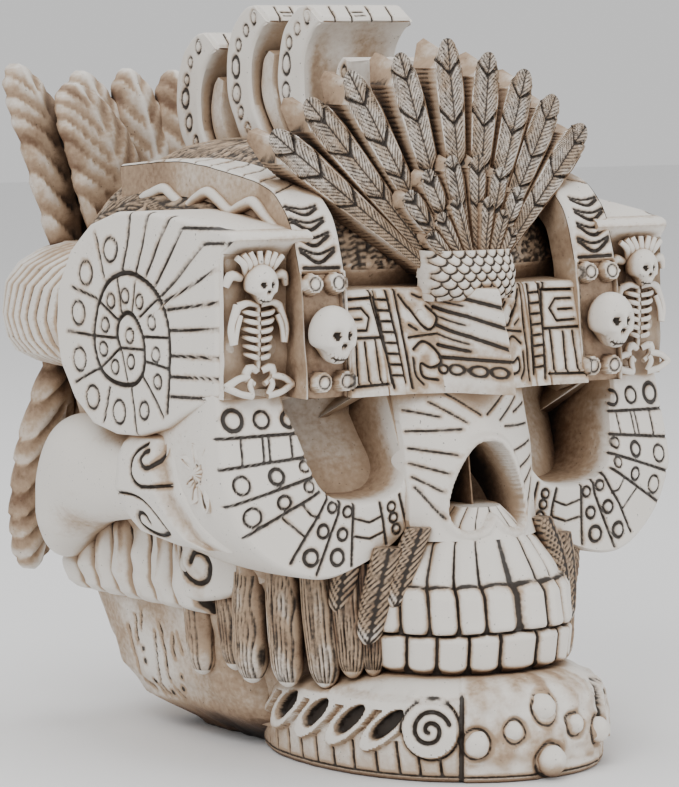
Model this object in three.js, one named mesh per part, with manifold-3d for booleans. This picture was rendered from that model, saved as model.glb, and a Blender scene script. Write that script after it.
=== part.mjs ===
// Skull figurine in an old Mexican carved style: one resin casting that stands on its own jaw.
// Millimetres, +Z up. The face looks towards -Y; +X is on the right for someone facing it.
// The origin is on the table, under the middle of the whole figurine.
import * as THREE from 'three';
import { mergeVertices } from 'three/addons/utils/BufferGeometryUtils.js';
import Module from 'manifold-3d';

const wasm = await Module();
wasm.setup();

// driving sizes
const HEAD = { half: 58, back: 66, top: 149.5 };                      // the cranium
const BAND = { half: 49, low: 91, top: 115, prow: -68 };              // headband and its jutting ridge
const BLOCK = { inner: 44, outer: 66, flare: 0.0875, front: -41 };    // ear blocks, wider at the back
const DISC = { y: -3, z: 106, ry: 28.5, rz: 27, coil: 14.4, eye: 6 }; // coiled disc on an ear block
const STRAP = { inner: 34.5, outer: 47 };                             // straps over the head
const SOCKET = { depth: -24 };                                        // floor of an eye socket
const JAW = { half: 38, front: -82.5, back: 12, square: 2.1 };        // horseshoe on the table
const CREST = { half: 14.4, small: 11, y: 1.9, pitch: 23.6, drop: 7, root: 143 };
const FAN = { tips: [[0, -40.5, 174.6], [13.6, -39.5, 171.2], [26.8, -37, 166.8], [37.4, -35, 160.3],
  [47.2, -34.5, 152.6]], rootZ: 119, rootY: -49, rootPitch: 2.3, width: 10, depth: 10 };
const PLUME = { low: 118, thick: 7, hang: 37 };                       // feathers at the back
const RIM = { half: 62.5, back: 84, low: 90.5, top: 122 };            // wrinkled band that ties them

// small tools; nearly all return a solid
const pieces = [];

function solid(geometry) {
  const g = geometry.clone();
  g.deleteAttribute('normal');
  g.deleteAttribute('uv');
  const merged = mergeVertices(g, 1e-4);
  return new wasm.Manifold(new wasm.Mesh({
    numProp: 3,
    vertProperties: new Float32Array(merged.attributes.position.array),
    triVerts: new Uint32Array(merged.index.array),
  }));
}

function closed(pos, tri) {
  let volume = 0;
  const at = (i) => new THREE.Vector3().fromArray(pos, 3 * i);
  for (let t = 0; t < tri.length; t += 3) {
    volume += at(tri[t]).dot(at(tri[t + 1]).cross(at(tri[t + 2])));
  }
  if (volume < 0) tri.reverse();
  const g = new THREE.BufferGeometry();
  g.setAttribute('position', new THREE.Float32BufferAttribute(pos, 3));
  g.setIndex(tri);
  return solid(g);
}

// Joins rings of equal point count and closes both ends, whatever their outline.
function loft(rings) {
  const n = rings[0].length;
  const tri = [];
  for (let k = 0; k + 1 < rings.length; k++) {
    for (let i = 0; i < n; i++) {
      const a = k * n + i, b = k * n + (i + 1) % n;
      tri.push(a, b, b + n, a, b + n, a + n);
    }
  }
  for (const k of [0, rings.length - 1]) {
    const v = rings[k].map((p) => new THREE.Vector3(...p));
    const area = new THREE.Vector3();
    v.forEach((p, i) => area.add(p.clone().cross(v[(i + 1) % n])));
    const u = v[1].clone().sub(v[0]).normalize(), w = area.clone().normalize().cross(u);
    const flat = v.map((p) => new THREE.Vector2(p.dot(u), p.dot(w)));
    for (const [a, b, c] of THREE.ShapeUtils.triangulateShape(flat, [])) {
      if (k) tri.push(k * n + a, k * n + b, k * n + c);
      else tri.push(a, c, b);
    }
  }
  return closed(rings.flat(2), tri);
}

// A slab between two grids of points (rows of equal length), front and back.
function slab(front, back) {
  const rows = front.length, n = front[0].length, off = rows * n;
  const tri = [];
  const quad = (a, b, c, d) => tri.push(a, b, c, a, c, d);
  for (let r = 0; r + 1 < rows; r++) {
    for (let i = 0; i + 1 < n; i++) {
      const a = r * n + i;
      quad(a, a + 1, a + 1 + n, a + n);
      quad(off + a, off + a + n, off + a + n + 1, off + a + 1);
    }
    const a = r * n, b = r * n + n - 1;
    quad(a, a + n, off + a + n, off + a);
    quad(b, off + b, off + b + n, b + n);
  }
  for (let i = 0; i + 1 < n; i++) {
    const t = (rows - 1) * n + i;
    quad(i, off + i, off + i + 1, i + 1);
    quad(t, t + 1, off + t + 1, off + t);
  }
  return closed([...front, ...back].flat(2), tri);
}

// A closed outline drawn in the YZ plane, pulled along X from x0 to x1.
function slabX(outline, x0, x1) {
  const shape = new THREE.Shape(outline.map(([y, z]) => new THREE.Vector2(y, z)));
  const g = new THREE.ExtrudeGeometry(shape, { depth: x1 - x0, bevelEnabled: false });
  const m = new THREE.Matrix4().makeBasis(new THREE.Vector3(0, 1, 0), new THREE.Vector3(0, 0, 1),
    new THREE.Vector3(1, 0, 0));
  g.applyMatrix4(m).translate(x0, 0, 0);
  return solid(g);
}

function block(x0, x1, y0, y1, z0, z1) {
  const g = new THREE.BoxGeometry(x1 - x0, y1 - y0, z1 - z0);
  return solid(g.translate((x0 + x1) / 2, (y0 + y1) / 2, (z0 + z1) / 2));
}

function ball(c, r, across = 8, down = 5) {
  const [rx, ry, rz] = Array.isArray(r) ? r : [r, r, r];
  const g = new THREE.SphereGeometry(1, across, down).rotateX(Math.PI / 2).scale(rx, ry, rz);
  return solid(g.translate(...c));
}

// A round bar along a line of points, with its own radius at each; n sides.
function bar(points, radii, n = 6, flat = 1) {
  const v = points.map((p) => new THREE.Vector3(...p));
  const rings = v.map((p, k) => {
    const a = v[Math.max(k - 1, 0)], b = v[Math.min(k + 1, v.length - 1)];
    const t = b.clone().sub(a).normalize();
    const ref = Math.abs(t.y) < 0.9 ? new THREE.Vector3(0, 1, 0) : new THREE.Vector3(0, 0, 1);
    const u = ref.clone().cross(t).normalize(), w = t.clone().cross(u);
    return Array.from({ length: n }, (_, i) => {
      const f = (i + 0.5) / n * 2 * Math.PI;
      return p.clone().addScaledVector(u, radii[k] * Math.cos(f))
        .addScaledVector(w, radii[k] * flat * Math.sin(f)).toArray();
    });
  });
  return loft(rings);
}

// One flat ring of a skull-like section: half width, front and back reach, and how square it is.
function section(z, half, front, back, square = 2.6, n = 16) {
  const mid = (front + back) / 2, reach = (back - front) / 2;
  return Array.from({ length: n }, (_, i) => {
    const a = (i + 0.5) / n * 2 * Math.PI, c = Math.cos(a), s = Math.sin(a);
    return [Math.sign(c) * half * Math.abs(c) ** (2 / square),
      mid + Math.sign(s) * reach * Math.abs(s) ** (2 / square), z];
  });
}

function both(s) {
  pieces.push(s, s.mirror([1, 0, 0]));
}

// head: cranium, face below the brow, and the neck block under the back
pieces.push(loft([
  section(8, 34, -38, 34, 3), section(34, 42, -44, 57, 3),
  section(58, 53, -48, 61, 3), section(84, HEAD.half, -46, 64, 3),
  section(110, HEAD.half, -42, HEAD.back, 3),
  section(128, 54, -36, 64, 2.8), section(139, 45, -28, 58, 2.5), section(147, 31, -14, 48, 2.3),
  section(HEAD.top, 15, 2, 34, 2.1),
]));
pieces.push(loft([
  section(0, 28, -20, 40, 4), section(8, 39, -20, 46, 5), section(15, 42.5, -20, 53, 5),
  section(34, 46, -20, 62, 5),
]));

// upper jaw and teeth: one stack of arches whose outline ripples with flutes, then teeth
const arch = (u, half, front, lift) => {
  const a = Math.abs(u) * Math.PI / 2;
  return [Math.sign(u) * (half + lift) * Math.sin(a) ** 0.8,
    -34 + (front + 34 - lift) * Math.cos(a) ** 0.8];
};
function archRing(z, half, front, bulge, teeth = 5) {
  const pts = [];
  for (let k = -teeth; k < teeth; k++) {
    for (const [f, lift] of [[0.02, -0.9], [0.28, bulge], [0.72, bulge]]) {
      pts.push([...arch((k + f) / teeth, half, front, lift), z]);
    }
  }
  return [...pts, [half, -20, z], [-half, -20, z]];
}
pieces.push(loft([
  archRing(22.5, 26.8, -68, 0.3), archRing(32, 27.8, -69.6, 0.9),
  archRing(33.1, 26.6, -68, -0.6), archRing(34, 28, -70.5, 0.9), archRing(42.5, 27.2, -68.5, 1.2),
  archRing(45, 25.8, -66, -0.6), archRing(47, 25.5, -66, 0.9), archRing(54, 20.5, -62.5, 0.9),
  archRing(61.5, 9.5, -58, 0.3),
]));
pieces.push(loft([section(40, 24, -58, 0, 3), section(60, 18, -55, 0, 3),
  section(90, 18, -54, 0, 2.6)]));

// lower jaw: a horseshoe on the table, with a knobbed chin
const jawRing = (z, half, front) => section(z, half, front, JAW.back, JAW.square, 18);
pieces.push(loft([jawRing(0, JAW.half - 1, JAW.front + 0.5), jawRing(3, JAW.half, JAW.front - 1),
  jawRing(17, JAW.half - 1.5, JAW.front + 1.5), jawRing(23.5, 33, -74.5)]));
for (const [x, y, z, r] of [[0, -80.5, 16.5, 3.9], [0, -83, 4.9, 4.1], [9.2, -80.3, 12, 3],
  [18, -79, 9.5, 3.6]]) {
  const knob = ball([x, y, z], [r, r * 1.15, r], 6, 3);
  if (x) both(knob); else pieces.push(knob);
}
// running scroll along each side of the jaw: a string of rings that ends in a round spiral boss
const jawX = (y) => JAW.half * (1 - Math.abs((y + 35.2) / 47.4) ** JAW.square) ** (1 / JAW.square);
const wave = Array.from({ length: 11 }, (_, i) => {
  const y = -3 - 6.1 * i;
  return [jawX(y) - 0.4, y, i % 2 ? 17.6 : 11.4];
});
both(bar(wave, wave.map(() => 2.1), 3));
const whorl = new THREE.CylinderGeometry(5.6, 6.4, 4, 8).rotateZ(-Math.PI / 2).rotateZ(-0.95);
both(solid(whorl.translate(24.6, -69, 13.2)));
for (let i = 0; i < 4; i++) {
  const y = -12 - 13 * i, x = jawX(y);
  both(block(x - 3, x + 0.8, y - 2.6, y + 2.6, 1.2, 7.5));
}

// face plates around the eyes, the eye sockets and the nose
const plateOut = [[15, 90], [16.5, 57], [24, 51], [33, 47.3], [43, 47.6], [51, 51.4], [58.5, 58],
  [62.5, 66], [64, 76], [64, 90]];
const plateRing = (y, grow, back) => plateOut.map(([x, z]) => {
  const bend = Math.max(x - 46, 0) * back;
  return [40 + (x - 40) * grow, y + bend, z > 89 ? z : 80 + (z - 80) * grow];
});
both(loft([plateRing(-8, 0.96, 0.4), plateRing(-46, 1, 0.42), plateRing(-51.5, 0.95, 0.42),
  plateRing(-53.2, 0.86, 0.36)]));

const cuts = [];
const cutBoth = (s) => cuts.push(s, s.mirror([1, 0, 0]));
const socketOut = [[21.5, 91.5], [19.5, 74], [24, 68.2], [33, 65.8], [42, 67], [47.5, 72], [49.5, 82],
  [49.8, 91.5]];
const socketRing = (y, grow) => socketOut.map(([x, z]) =>
  [35 + (x - 35) * grow, y, z > 91 ? z : 80 + (z - 80) * grow]);
cutBoth(loft([socketRing(-62, 1.16), socketRing(-48.5, 0.94), socketRing(SOCKET.depth, 0.8)]));
const nose = [[0, 78.5], [5.5, 75], [10, 66], [11, 61], [8, 57.2], [3, 58.2], [0, 62.5]];
const noseShape = new THREE.Shape([...nose, ...nose.slice(1, -1).reverse().map(([x, z]) => [-x, z])]
  .map(([x, z]) => new THREE.Vector2(x, z)));
const noseCut = new THREE.ExtrudeGeometry(noseShape, { depth: 30, bevelEnabled: false });
cuts.push(solid(noseCut.rotateX(Math.PI / 2).translate(0, -38, 0)));
const septum = block(-0.8, 0.8, -53, -36, 58, 80);

// bridge of the nose and rim round the nose opening
pieces.push(loft([
  [[-19, -40, 92], [19, -40, 92], [10, -55, 92], [-10, -55, 92]],
  [[-19, -42, 80], [19, -42, 80], [5.5, -58.5, 80], [-5.5, -58.5, 80]],
  [[-19, -42, 62], [19, -42, 62], [13, -57.5, 62], [-13, -57.5, 62]],
  [[-17, -40, 56], [17, -40, 56], [12, -55, 56], [-12, -55, 56]],
]));

// radial grooves of the plates
for (const [x0, z0, x1, z1, y] of [[50, 81, 66, 82.5, -46.5], [49, 71, 62, 63, -50],
  [39, 63.5, 45, 51, -55.4], [29, 63.5, 29, 50.5, -55.6]]) {
  const g = new THREE.BoxGeometry(Math.hypot(x1 - x0, z1 - z0), 6, 1.3);
  cutBoth(solid(g.rotateY(-Math.atan2(z1 - z0, x1 - x0)).translate((x0 + x1) / 2, y, (z0 + z1) / 2)));
}

// headband: a bent slab whose middle juts out like a prow
const bandRing = (z, ys, k) => [...[9, 22, 36, BAND.half].map((x, i) => [-x, ys[i + 1], z]).reverse(),
  [0, ys[0], z + k], ...[9, 22, 36, BAND.half].map((x, i) => [x, ys[i + 1], z]),
  [BAND.half, -26, z], [-BAND.half, -26, z]];
pieces.push(loft([
  bandRing(BAND.low - 1, [BAND.prow - 1, -54, -51, -51, -46], 3),
  bandRing(103, [BAND.prow + 2, -50.5, -48, -49, -45.5], 0),
  bandRing(BAND.top, [BAND.prow + 6, -48, -44.5, -46, -43], 1),
]));
for (const z of [96.5, 101.5, 106.5]) {
  for (const s of [-1, 1]) {
    pieces.push(bar([[s * 9, -51, z + 4.5], [0, -66.5 + (z - 96) * 0.15, z - 0.5]], [1.1, 1.5], 4));
  }
}
for (const x of [21.8, 28.5]) both(bar([[x, -51.2, 91.5], [x + 1.2, -45.6, 114.5]], [1.7, 1.6], 4));

// straps: up the front over the cranium, each with a small skull between ringed studs
const strapPath = [[-44, 90.5], [-50, 90.5], [-49, 104], [-47, 121], [-44.5, 129], [-41, 134.5],
  [-34, 139.5], [-20, 142.5], [6, 145], [33, 143], [33, 136], [-36, 124], [-40, 100]];
both(slabX(strapPath, STRAP.inner, STRAP.outer));
const cord = [[22, 134], [12, 137.8], [2, 133.8], [-8, 137.6], [-18, 133.4], [-28, 136], [-37, 130.6]];
both(bar(cord.map(([y, z]) => [STRAP.outer + 0.6, y, z]), cord.map(() => 2.2), 3));
for (const x of [37.2, 44.4]) {
  for (const [y, z] of [[-48.6, 117.2], [-51.4, 94.3]]) {
    both(solid(new THREE.CylinderGeometry(2.9, 3.3, 4, 5).translate(x, y, z)));
  }
}
both(ball([41.2, -50.5, 108], [5.9, 5.6, 6.3], 7, 4));
both(block(38.2, 44.2, -54.5, -48, 99, 104.5));
for (const x of [38.8, 43.6]) cutBoth(ball([x, -56.2, 106.3], [1.9, 2.8, 2], 4, 3));
for (const [z, y] of [[125.5, -46.4], [132.5, -43.2]]) {
  both(bar([[36, y, z + 1], [41, y - 0.6, z - 0.8], [46, y, z + 1]], [1.1, 1.4, 1.1], 3));
}

// ear blocks: a coiled disc on the outer side and a seated skeleton on the front
const sideX = (y) => BLOCK.outer + BLOCK.flare * (y - BLOCK.front);
const earOutline = [[BLOCK.front, 90], [-28, 86.5], ...Array.from({ length: 10 }, (_, i) => {
  const a = -2.0 + i / 9 * 3.65;
  return [DISC.y + DISC.ry * Math.cos(a), DISC.z + DISC.rz * Math.sin(a)];
}), [-24, 132.3], [BLOCK.front - 4, 129.8], [BLOCK.front - 5, 125.5], [BLOCK.front, 124.5]];
const earShape = (grow, x) => earOutline.map(([y, z]) => {
  const yy = -8 + (y + 8) * grow, zz = 106 + (z - 106) * grow;
  return [x ?? sideX(y), yy, zz];
});
both(loft([earShape(1, BLOCK.inner), earShape(1).map(([x, y, z]) => [x - 5, y, z]), earShape(0.9)]));
for (const [r, h, n] of [[DISC.coil, 0.2, 8], [DISC.eye, 1.2, 6]]) {
  const g = new THREE.CylinderGeometry(r, r + 0.6, 6, n).rotateZ(-Math.PI / 2).scale(1, 1.12, 1);
  g.rotateX(Math.PI / 2).rotateZ(-BLOCK.flare);
  both(solid(g.translate(sideX(DISC.y - 2) - 2.1 + h, DISC.y - 2.5, DISC.z)));
}
both(bar([[sideX(-22), -22, 112], [sideX(-39), -39, 116]], [1, 1], 3));
// seated skeleton: plumed skull, ribs, arms, hip bowl and folded legs
const sk = { x: 57, y: -44 };
both(ball([sk.x, sk.y - 0.5, 117.6], [4.4, 5.2, 4.8], 7, 4));
for (const i of [-1, 0, 1]) {
  const tip = [sk.x + i * 5, sk.y, 124.6 - Math.abs(i) * 1.2];
  both(bar([[sk.x + i * 3.6, sk.y + 1.4, 119], tip], [2.2, 1.8], 3));
}
const ribs = [[113, 3.4], [110.5, 4.9], [108, 3.3], [105.5, 4.9], [102, 2.2], [96, 2.4]];
both(loft(ribs.map(([z, w]) => [[sk.x - w, sk.y + 1.4, z], [sk.x - w * 0.45, sk.y - 1.2 - w * 0.35, z],
  [sk.x + w * 0.45, sk.y - 1.2 - w * 0.35, z], [sk.x + w, sk.y + 1.4, z]])));
for (const s of [-1, 1]) {
  both(bar([[sk.x + s * 4, sk.y + 1, 113], [sk.x + s * 8.3, sk.y, 107], [sk.x + s * 4.5, sk.y, 96]],
    [1.6, 2.2, 1.6], 3));
}
both(bar([[sk.x - 9.4, sk.y - 0.6, 94.4], [sk.x - 4.5, sk.y - 2, 92.6], [sk.x, sk.y - 2, 95.4],
  [sk.x + 4.5, sk.y - 2, 92.6], [sk.x + 9.4, sk.y - 0.6, 94.4]], [1.3, 1.9, 2, 1.9, 1.3], 4));

// fan of nine thick feathers over the brow, rooted in a scaled boss
// The feathers are one slab: each has its own slanting face, and their tips stand free.
function fan(tips, root, widths, thick, steps, profile) {
  const line = (back, f) => tips.flatMap(([x, y, z], i) => {
    const r = root(i), w = widths[0] + (widths[1] - widths[0]) * f;
    const along = new THREE.Vector2(x - r[0], z - r[2]).normalize();
    return profile.map(([a, h, dip]) => {
      const g = f === 1 ? h : f;
      return [r[0] + (x - r[0]) * g + along.y * a * w / 2, r[1] + (y - r[1]) * g + (back ? thick : dip),
        r[2] + (z - r[2]) * g - along.x * a * w / 2];
    });
  });
  return slab(steps.map((f) => line(0, f)), steps.map((f) => line(1, f)));
}
const mirrored = (list) => [...list.slice(1).reverse().map(([x, y, z]) => [-x, y, z]), ...list];
const tips = mirrored(FAN.tips);
pieces.push(fan(tips, (i) => [(i - 4) * FAN.rootPitch, FAN.rootY + Math.abs(i - 4) * 0.3, FAN.rootZ],
  [2.2, FAN.width], FAN.depth, [0, 0.6, 1], [[-1, 0.84, 0.3], [-0.72, 1, 0], [0, 1, 1], [0.72, 1, 0]]));
const small = Array.from({ length: 3 }, (_, i) => {
  const a = 0.15 + i * 0.3;
  return [Math.sin(a) * (27 - i), -48, 120 + Math.cos(a) * (27 - i)];
});
const smallTips = [...small.map(([x, y, z]) => [-x, y, z]).reverse(), ...small];
pieces.push(fan(smallTips, (i) => [(i - 2.5) * 2, -52.5, 120], [1.9, 6.6], 5, [0, 1],
  [[-1, 0.75, 0.5], [-0.4, 1, 0], [0.4, 1, 0]]));
pieces.push(ball([0, -50.5, 117], [12, 7.5, 5], 8, 4));
for (const [u, v] of [[-7, 0], [0, 0], [7, 0], [-3.6, -3.4], [3.6, -3.4]]) {
  pieces.push(ball([u, -55.5 + v * 0.4 + Math.abs(u) * 0.25, 120.2 + v], [3.9, 2.8, 3], 5, 3));
}

// crest: three curling plates one behind the other, each with a lower plate inside its curl
const curl = [[-9.6, 178.6], [-7.8, 181.2], [-1.9, 183.1], [3.8, 180.6], [7.8, 176.5], [10.3, 170],
  [10.4, 163], [8.6, 157], [5.5, 152], [1, 143], [-14, 143], [-8, 150], [-4, 154.5], [-1.5, 159],
  [-0.9, 165], [-1.6, 170], [-4.2, 175]];
const smallCurl = [[-8, 170], [-3.2, 171.2], [-1.6, 168], [-1, 162.6], [-3, 156], [-8, 149.5],
  [-12, 143], [-19, 143], [-13.5, 150], [-9, 156], [-7, 162.6], [-7.4, 167]];
for (let k = 0; k < 3; k++) {
  const drop = k === 2 ? CREST.drop : 0;
  const put = (pts, dy, dz) => pts.map(([y, z]) =>
    [y + dy + CREST.y + CREST.pitch * k, Math.max(z + dz - drop, CREST.root - 3 * k)]);
  pieces.push(slabX(put(curl, 0, 0), -CREST.half, CREST.half));
  pieces.push(slabX(put(smallCurl, k ? 0 : -9, k ? 0 : -1.5), -CREST.small, CREST.small));
}

// side of the head: flower, scroll collar, smooth bone and the row of pleats
const star = (x, r0, r1) => Array.from({ length: 16 }, (_, i) => {
  const a = i * Math.PI / 8, r = i % 2 ? r0 : r1;
  return [x, -33 + r * 0.92 * Math.cos(a), 72.5 + r * 1.08 * Math.sin(a)];
});
both(loft([star(60, 5, 8), star(65.4, 5, 8.4), star(67.2, 2.4, 3.4)]));
both(loft([
  [[50, -28, 80], [66, -20, 79.5], [67.5, 4, 78], [50, 8, 79]],
  [[50, -30, 68], [67, -26, 67.5], [69.5, 5, 66], [50, 10, 67]],
  [[50, -34, 57], [65, -30, 56.5], [66.5, -2, 57], [50, 6, 57]],
  [[50, -38, 53.5], [61, -36, 53], [62, -10, 54], [50, 0, 54]],
]));
both(bar([[67.5, -14, 78], [69.6, -19, 73], [69.8, -12, 67]], [1.8, 1.8, 1.3], 3));
both(bar([[69, -2, 65.5], [68.4, -10, 58.5], [67.8, -3, 58.5]], [1.4, 1.7, 1.3], 3));
const boneRing = (y, x, z, w, h, n = 8) => Array.from({ length: n }, (_, i) => {
  const a = (i + 0.5) / n * 2 * Math.PI;
  return [x + w * Math.cos(a), y, z + h * Math.sin(a)];
});
both(loft([boneRing(2, 56, 67.5, 10.5, 10.6), boneRing(18, 56, 67.5, 11.5, 12.5),
  boneRing(34, 55, 66, 12, 15), boneRing(46, 53.5, 60.5, 11.5, 16.5), boneRing(53, 51, 57, 10, 13.5),
  boneRing(56, 49, 55, 6, 9)]));
// a curtain: a wall from the first to the last point whose outer face swells once per fold
function curtain(from, to, folds, rows) {
  const d = new THREE.Vector2(to[0] - from[0], to[1] - from[1]);
  const n = new THREE.Vector2(-d.y, d.x).normalize();
  if (n.x < 0) n.negate();
  return loft(rows.map(([z, out, swell]) => {
    const ring = [];
    for (let i = 0; i <= folds * 2; i++) {
      const f = i / (folds * 2), b = out + (i % 2 ? swell : 0);
      ring.push([from[0] + d.x * f + n.x * b, from[1] + d.y * f + n.y * b, z]);
    }
    const inner = (p) => [p[0] - n.x * 12, p[1] - n.y * 12, z];
    return [...ring, inner(to), inner(from)];
  }));
}
both(curtain([46, 56], [47, -6], 7, [[35, -0.5, 3.6], [41, 1, 5], [60, 1, 2]]));
both(loft([
  [[44, -6, 58], [54, -6, 56], [44, -31, 52], [36, -31, 52]],
  [[42, -6, 38.5], [52, -6, 38.5], [42, -32, 44], [34, -32, 44]],
]));

// locks and twisted feathers between the eye plates and the jaw
both(curtain([42, 4], [37.5, -36], 3, [[19, -1.5, 2.6], [23, 1, 4.6], [48, 1.6, 2]]));
both(curtain([36.5, -36], [27, -50], 2, [[21.5, -2, 2.4], [25, 0, 4.4], [48, 1.2, 2]]));
for (const [top, bottom] of [[[18.5, -55, 57], [24.5, -54.5, 41]], [[26, -53, 53], [29, -50, 32]]]) {
  const middle = top.map((v, i) => (v + bottom[i]) / 2 + [0.6, -1, 0][i]);
  both(bar([top, middle, bottom], [3, 4.2, 2.6], 4));
}

// back: tall plumes bound by a wrinkled band, with plumes hanging below it
function plume(base, mid, tip, wide, thick) {
  const ring = (p, w, t, turn) => {
    const c = Math.cos(turn), s = Math.sin(turn);
    return [[-1, 0], [0, -1], [1, 0], [0, 1]].map(([a, b]) =>
      [p[0] + a * w / 2 * c - b * t / 2 * s, p[1] + a * w / 2 * s + b * t / 2 * c, p[2]]);
  };
  const turn = Math.atan2(-base[0], 90);
  return loft([ring(base, wide * 0.55, thick, turn), ring(mid, wide, thick, turn),
    ring(tip, wide * 0.6, thick * 0.6, turn)]);
}
for (const [x, y, z, wide] of [[0, 84, 166, 17], [14.7, 84.5, 166.5, 17], [29.5, 83, 166, 19],
  [39, 72, 163, 27], [52, 79, 168, 20]]) {
  const base = [x * 0.78, y - 20 + x * 0.12, PLUME.low], mid = [x * 0.86, y - 9, 142];
  const p = plume(base, mid, [x * 0.98, y, z], wide, PLUME.thick);
  if (x) both(p); else pieces.push(p);
}
pieces.push(loft([
  section(RIM.low, 51, 0, 73, 4, 12), section(97, RIM.half - 2, 0, RIM.back - 2, 4, 12),
  section(111, RIM.half, 0, RIM.back, 4, 12), section(RIM.top, 52, 0, 74, 4, 12),
]));
for (const [x, y] of [[0, 72], [18, 73], [36, 72], [52, 70]]) {
  const p = plume([x * 0.85, y - 5, 95], [x * 0.95, y - 1, 68], [x * 1.03, y - 1, PLUME.hang], 19, 10);
  if (x) both(p); else pieces.push(p);
}

// join everything into the one casting
let body = wasm.Manifold.union(pieces);
body = body.subtract(wasm.Manifold.union(cuts)).add(septum);
const mesh = body.getMesh();
const geometry = new THREE.BufferGeometry();
geometry.setAttribute('position', new THREE.Float32BufferAttribute(mesh.vertProperties, 3));
geometry.setIndex(new THREE.Uint32BufferAttribute(mesh.triVerts, 1));
const resin = new THREE.MeshStandardMaterial({ color: 0xd9d2c6, roughness: 0.55 });
const skull = new THREE.Mesh(geometry, resin);
skull.name = 'skull';

const root = new THREE.Group();
root.name = 'carved_skull';
root.add(skull);
export default root;
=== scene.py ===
# %% [markdown]
# # A carved skull figurine
# This lesson dresses a faceted skull, cast in resin, with the carving that makes it look real. The
# figurine wears a fan of feathers, a curled crest and coiled ear blocks. Everything is a surface that
# numpy works out as whole arrays, and the same three numbers ride on every point of it: how far it is
# from the edge of a cut line, how much brown wash and painted shade lie on it, and how deep it sits.

# %% Load the frame
import math
import bpy
import numpy as np
from mathutils import Matrix, Vector


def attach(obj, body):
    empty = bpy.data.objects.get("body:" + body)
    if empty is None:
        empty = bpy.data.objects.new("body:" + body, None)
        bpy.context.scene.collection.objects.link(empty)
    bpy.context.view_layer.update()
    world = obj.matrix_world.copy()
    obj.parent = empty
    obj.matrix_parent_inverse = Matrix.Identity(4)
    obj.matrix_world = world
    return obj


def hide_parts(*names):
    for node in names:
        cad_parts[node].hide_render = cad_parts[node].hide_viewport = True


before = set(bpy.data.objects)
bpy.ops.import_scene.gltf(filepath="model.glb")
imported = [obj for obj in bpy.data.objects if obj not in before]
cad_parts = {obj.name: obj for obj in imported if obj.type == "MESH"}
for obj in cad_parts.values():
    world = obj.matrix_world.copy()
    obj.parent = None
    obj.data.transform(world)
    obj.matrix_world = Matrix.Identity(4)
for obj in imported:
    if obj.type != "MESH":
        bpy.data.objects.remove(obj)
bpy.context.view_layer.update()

# %% [markdown]
# ## Camera, floor and light
# The photograph was taken from a little left of the face and slightly above it. A long lens far away
# keeps the near cheek from swelling, so the camera stands about a metre off. The light is soft and comes
# from all round, as in a white tent, with a stronger sheet of light from the upper left.

# %% Camera
EYE = Vector((-0.57219, -0.82259, 0.17926))
BACK = Vector((-0.5663, -0.8190, 0.0933)).normalized()
lens = bpy.data.cameras.new("camera")
lens.sensor_fit, lens.sensor_width, lens.lens = "HORIZONTAL", 36.0, 4000 * 36.0 / 679
lens.clip_start, lens.clip_end = 0.05, 10
camera = bpy.data.objects.new("camera", lens)
camera.rotation_mode = "QUATERNION"
camera.location, camera.rotation_quaternion = EYE, BACK.to_track_quat("Z", "Y")
bpy.context.scene.collection.objects.link(camera)
bpy.context.scene.camera = camera
print("lens of", round(lens.lens), "mm")

# %% Floor and lights
def plain(name, colour, rough):
    """A material of one colour, for what isn't part of the figurine."""
    m = bpy.data.materials.new(name)
    m.use_nodes = True
    s = m.node_tree.nodes["Principled BSDF"]
    s.inputs["Base Color"].default_value = (*colour, 1)
    s.inputs["Roughness"].default_value = rough
    return m

bpy.ops.mesh.primitive_plane_add(size=6)
floor = bpy.context.object
floor.name = "floor"
floor.data.materials.append(plain("pale_floor", (0.86, 0.86, 0.86), 0.7))
sky = bpy.data.worlds.new("studio")
sky.use_nodes = True
sky.node_tree.nodes["Background"].inputs["Color"].default_value = (1, 1, 1, 1)
sky.node_tree.nodes["Background"].inputs["Strength"].default_value = 0.75
bpy.context.scene.world = sky
for name, place, size, watts in (("key", (-0.9, -0.7, 1.0), 0.8, 11), ("fill", (0.9, -0.9, 0.5), 0.9, 6),
                                 ("top", (0.1, 0.3, 1.2), 0.7, 6)):
    lamp = bpy.data.lights.new(name, "AREA")
    lamp.size, lamp.energy = size, watts
    o = bpy.data.objects.new(name, lamp)
    o.location = place
    o.rotation_euler = (Vector((0, 0, 0.09)) - Vector(place)).to_track_quat("-Z", "Y").to_euler()
    bpy.context.scene.collection.objects.link(o)

# %% [markdown]
# ## The maker's tools
# A sheet is a grid of points. A carving keeps the sheet's own two coordinates in mm and collects lines
# and rings as distances, because a distance stays crisp when it is blended between points, where a
# painted stripe would blur. A piece gathers sheets, closes each one with a skirt and a cap, turns its
# faces outwards by the sign of its volume, and mirrors it where the figurine has the same thing on both
# sides.

# %% Curves and blends
def smooth(t):
    """3tt - 2ttt between 0 and 1, flat outside."""
    t = np.clip(t, 0, 1)
    return t * t * (3 - 2 * t)

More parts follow.
